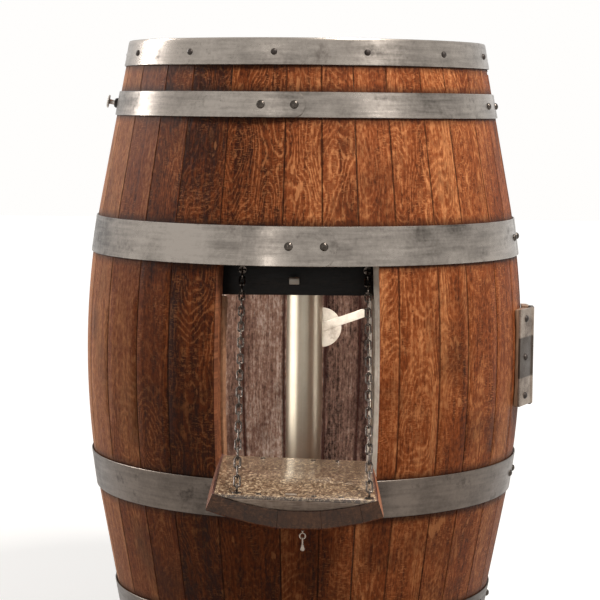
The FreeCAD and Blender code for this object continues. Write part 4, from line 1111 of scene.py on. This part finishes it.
sideHinge = {"x": 0.3364595, "y": -0.0613106, "width": 0.054, "thick": 0.003, "rise": 0.0032, "edge": 0.004,
             "share": 0.56, "spacing": 0.057}
hingeAzimuth = math.degrees(math.atan2(sideHinge["x"], -sideHinge["y"]))
hingeRadius = math.hypot(sideHinge["x"], sideHinge["y"])
edgeRadius = cadInner(middle) + cask["wall"] + sideHinge["edge"] + sideHinge["thick"]
radial = onWall(hingeAzimuth, 1, 0)
drop = hingeRadius + sideHinge["rise"] - math.sqrt(edgeRadius ** 2 - sideHinge["width"] ** 2)
for sign, name, body, node in ((-1, "sideBoltsFixed", "barrel", "side_fixed_bolts"),
                               (1, "sideBoltsMoving", "side_door", "side_moving_bolts")):
    along = (onWall(hingeAzimuth + 90, sign, 0) * sideHinge["width"] - radial * drop).normalized()
    outward = upward.cross(along) * (-sign)
    base = Vector((sideHinge["x"], sideHinge["y"], middle)) + outward * sideHinge["rise"]
    base += along * (sideHinge["width"] * sideHinge["share"])
    seats = [(base + upward * level, outward) for level in (-sideHinge["spacing"], 0, sideHinge["spacing"])]
    makeStuds(name, "bolt", seats, "darkIron", body, "zinc", node)
print("bolts built")

# floor, light and camera

stage = {"floor": (0.38, 0.37, 0.36, 1.0), "bounce": (0.06, 0.05, 0.04, 1.0), "lift": (0.64, 0.97),
         "spread": (1.0, 3.6), "half": 12, "air": 0.08}
half = stage["half"]
floorMesh = bpy.data.meshes.new("studioFloor")
floorCorners = [(-half, -half, 0), (half, -half, 0), (half, half, 0), (-half, half, 0)]
floorMesh.from_pydata(floorCorners, [], [(0, 1, 2, 3)])
material, tree, shader, place = startMaterial("studioFloor")
rays = addNode(tree, "ShaderNodeLightPath")
direct = largest(rays["Is Camera Ray"], rays["Is Glossy Ray"])
lift = remap(vectorCalc("LENGTH", place)["Value"], *stage["spread"], *stage["lift"])
feed(shader, {"Base Color": mix(direct, stage["bounce"], stage["floor"]), "Roughness": 0.8,
              "Emission Color": (1, 0.99, 0.97, 1), "Emission Strength": direct * lift})
floorMesh.materials.append(material)
putInScene("studioFloor", floorMesh)

world = bpy.data.worlds.new("studio")
bpy.context.scene.world = world
world.use_nodes = True
tree = world.node_tree
tree.nodes.clear()
rays = addNode(tree, "ShaderNodeLightPath")
seen = largest(rays["Is Camera Ray"], rays["Is Transmission Ray"], rays["Is Glossy Ray"])
backdrop = addNode(tree, "ShaderNodeBackground", {
    "Color": (1, 0.99, 0.975, 1), "Strength": remap(seen, 0, 1, stage["air"], 1.0)})
addNode(tree, "ShaderNodeOutputWorld", {"Surface": backdrop})

# name, place, target, size, power, colour and what doesn't see the lamp
for name, place, target, size, power, colour, hidden in (
        ("keyLamp", (1.25, -1.4, 3.6), (0.1, -0.2, 0.8), (0.6, 0.9), 188, (1, 0.97, 0.93), None),
        ("fillLamp", (-1.0, -2.7, 1.2), (0, 0, 0.55), (0.4, 1.2), 4, (1, 0.97, 0.94), None),
        ("rimLamp", (-2.2, 0.9, 1.75), (0, 0, 0.75), (0.5, 1.1), 40, (1, 0.97, 0.95), None),
        ("glintLamp", (1.8, -1.8, 2.0), (0, 0, 0.8), (0.7, 0.7), 8, (1, 0.98, 0.96), None),
        ("cabinetLamp", (0.0, -0.16, 0.608), (0.0, 0.05, 0.3), (0.26, 0.12), 2.6, (1, 0.96, 0.9), "glossy"),
        ("stripLamp", (-0.215, -0.06, 0.44), (0, 0.02, 0.44), (0.22, 0.26), 0.6875, (1, 0.97, 0.92), "camera"),
        ("stripLamp", (0.215, -0.06, 0.44), (0, 0.02, 0.44), (0.035, 0.26), 0.11, (1, 0.97, 0.92), "camera")):
    lamp = bpy.data.lights.new(name, "AREA")
    lamp.shape, lamp.energy, lamp.color = "RECTANGLE", power, colour
    lamp.size, lamp.size_y = size
    holder = putInScene(name, lamp)
    holder.location = place
    holder.rotation_euler = (Vector(target) - Vector(place)).to_track_quat("-Z", "Y").to_euler()
    if hidden:
        setattr(holder, "visible_" + hidden, False)

view = {"place": (0, -3.093, 0.822), "pitch": 5.83, "roll": 0.54, "lens": 122.9, "shift": (-0.0077, 0.026)}
cameraData = bpy.data.cameras.new("frontCamera")
cameraData.lens, cameraData.sensor_width = view["lens"], 36
cameraData.shift_x, cameraData.shift_y = view["shift"]
camera = putInScene("frontCamera", cameraData)
camera.matrix_world = (Matrix.Translation(view["place"])
                       @ Matrix.Rotation(math.radians(90 - view["pitch"]), 4, "X")
                       @ Matrix.Rotation(math.radians(view["roll"]), 4, "Z"))
bpy.context.scene.camera = camera
bpy.context.scene.view_settings.view_transform = "Standard"
print("stage set")
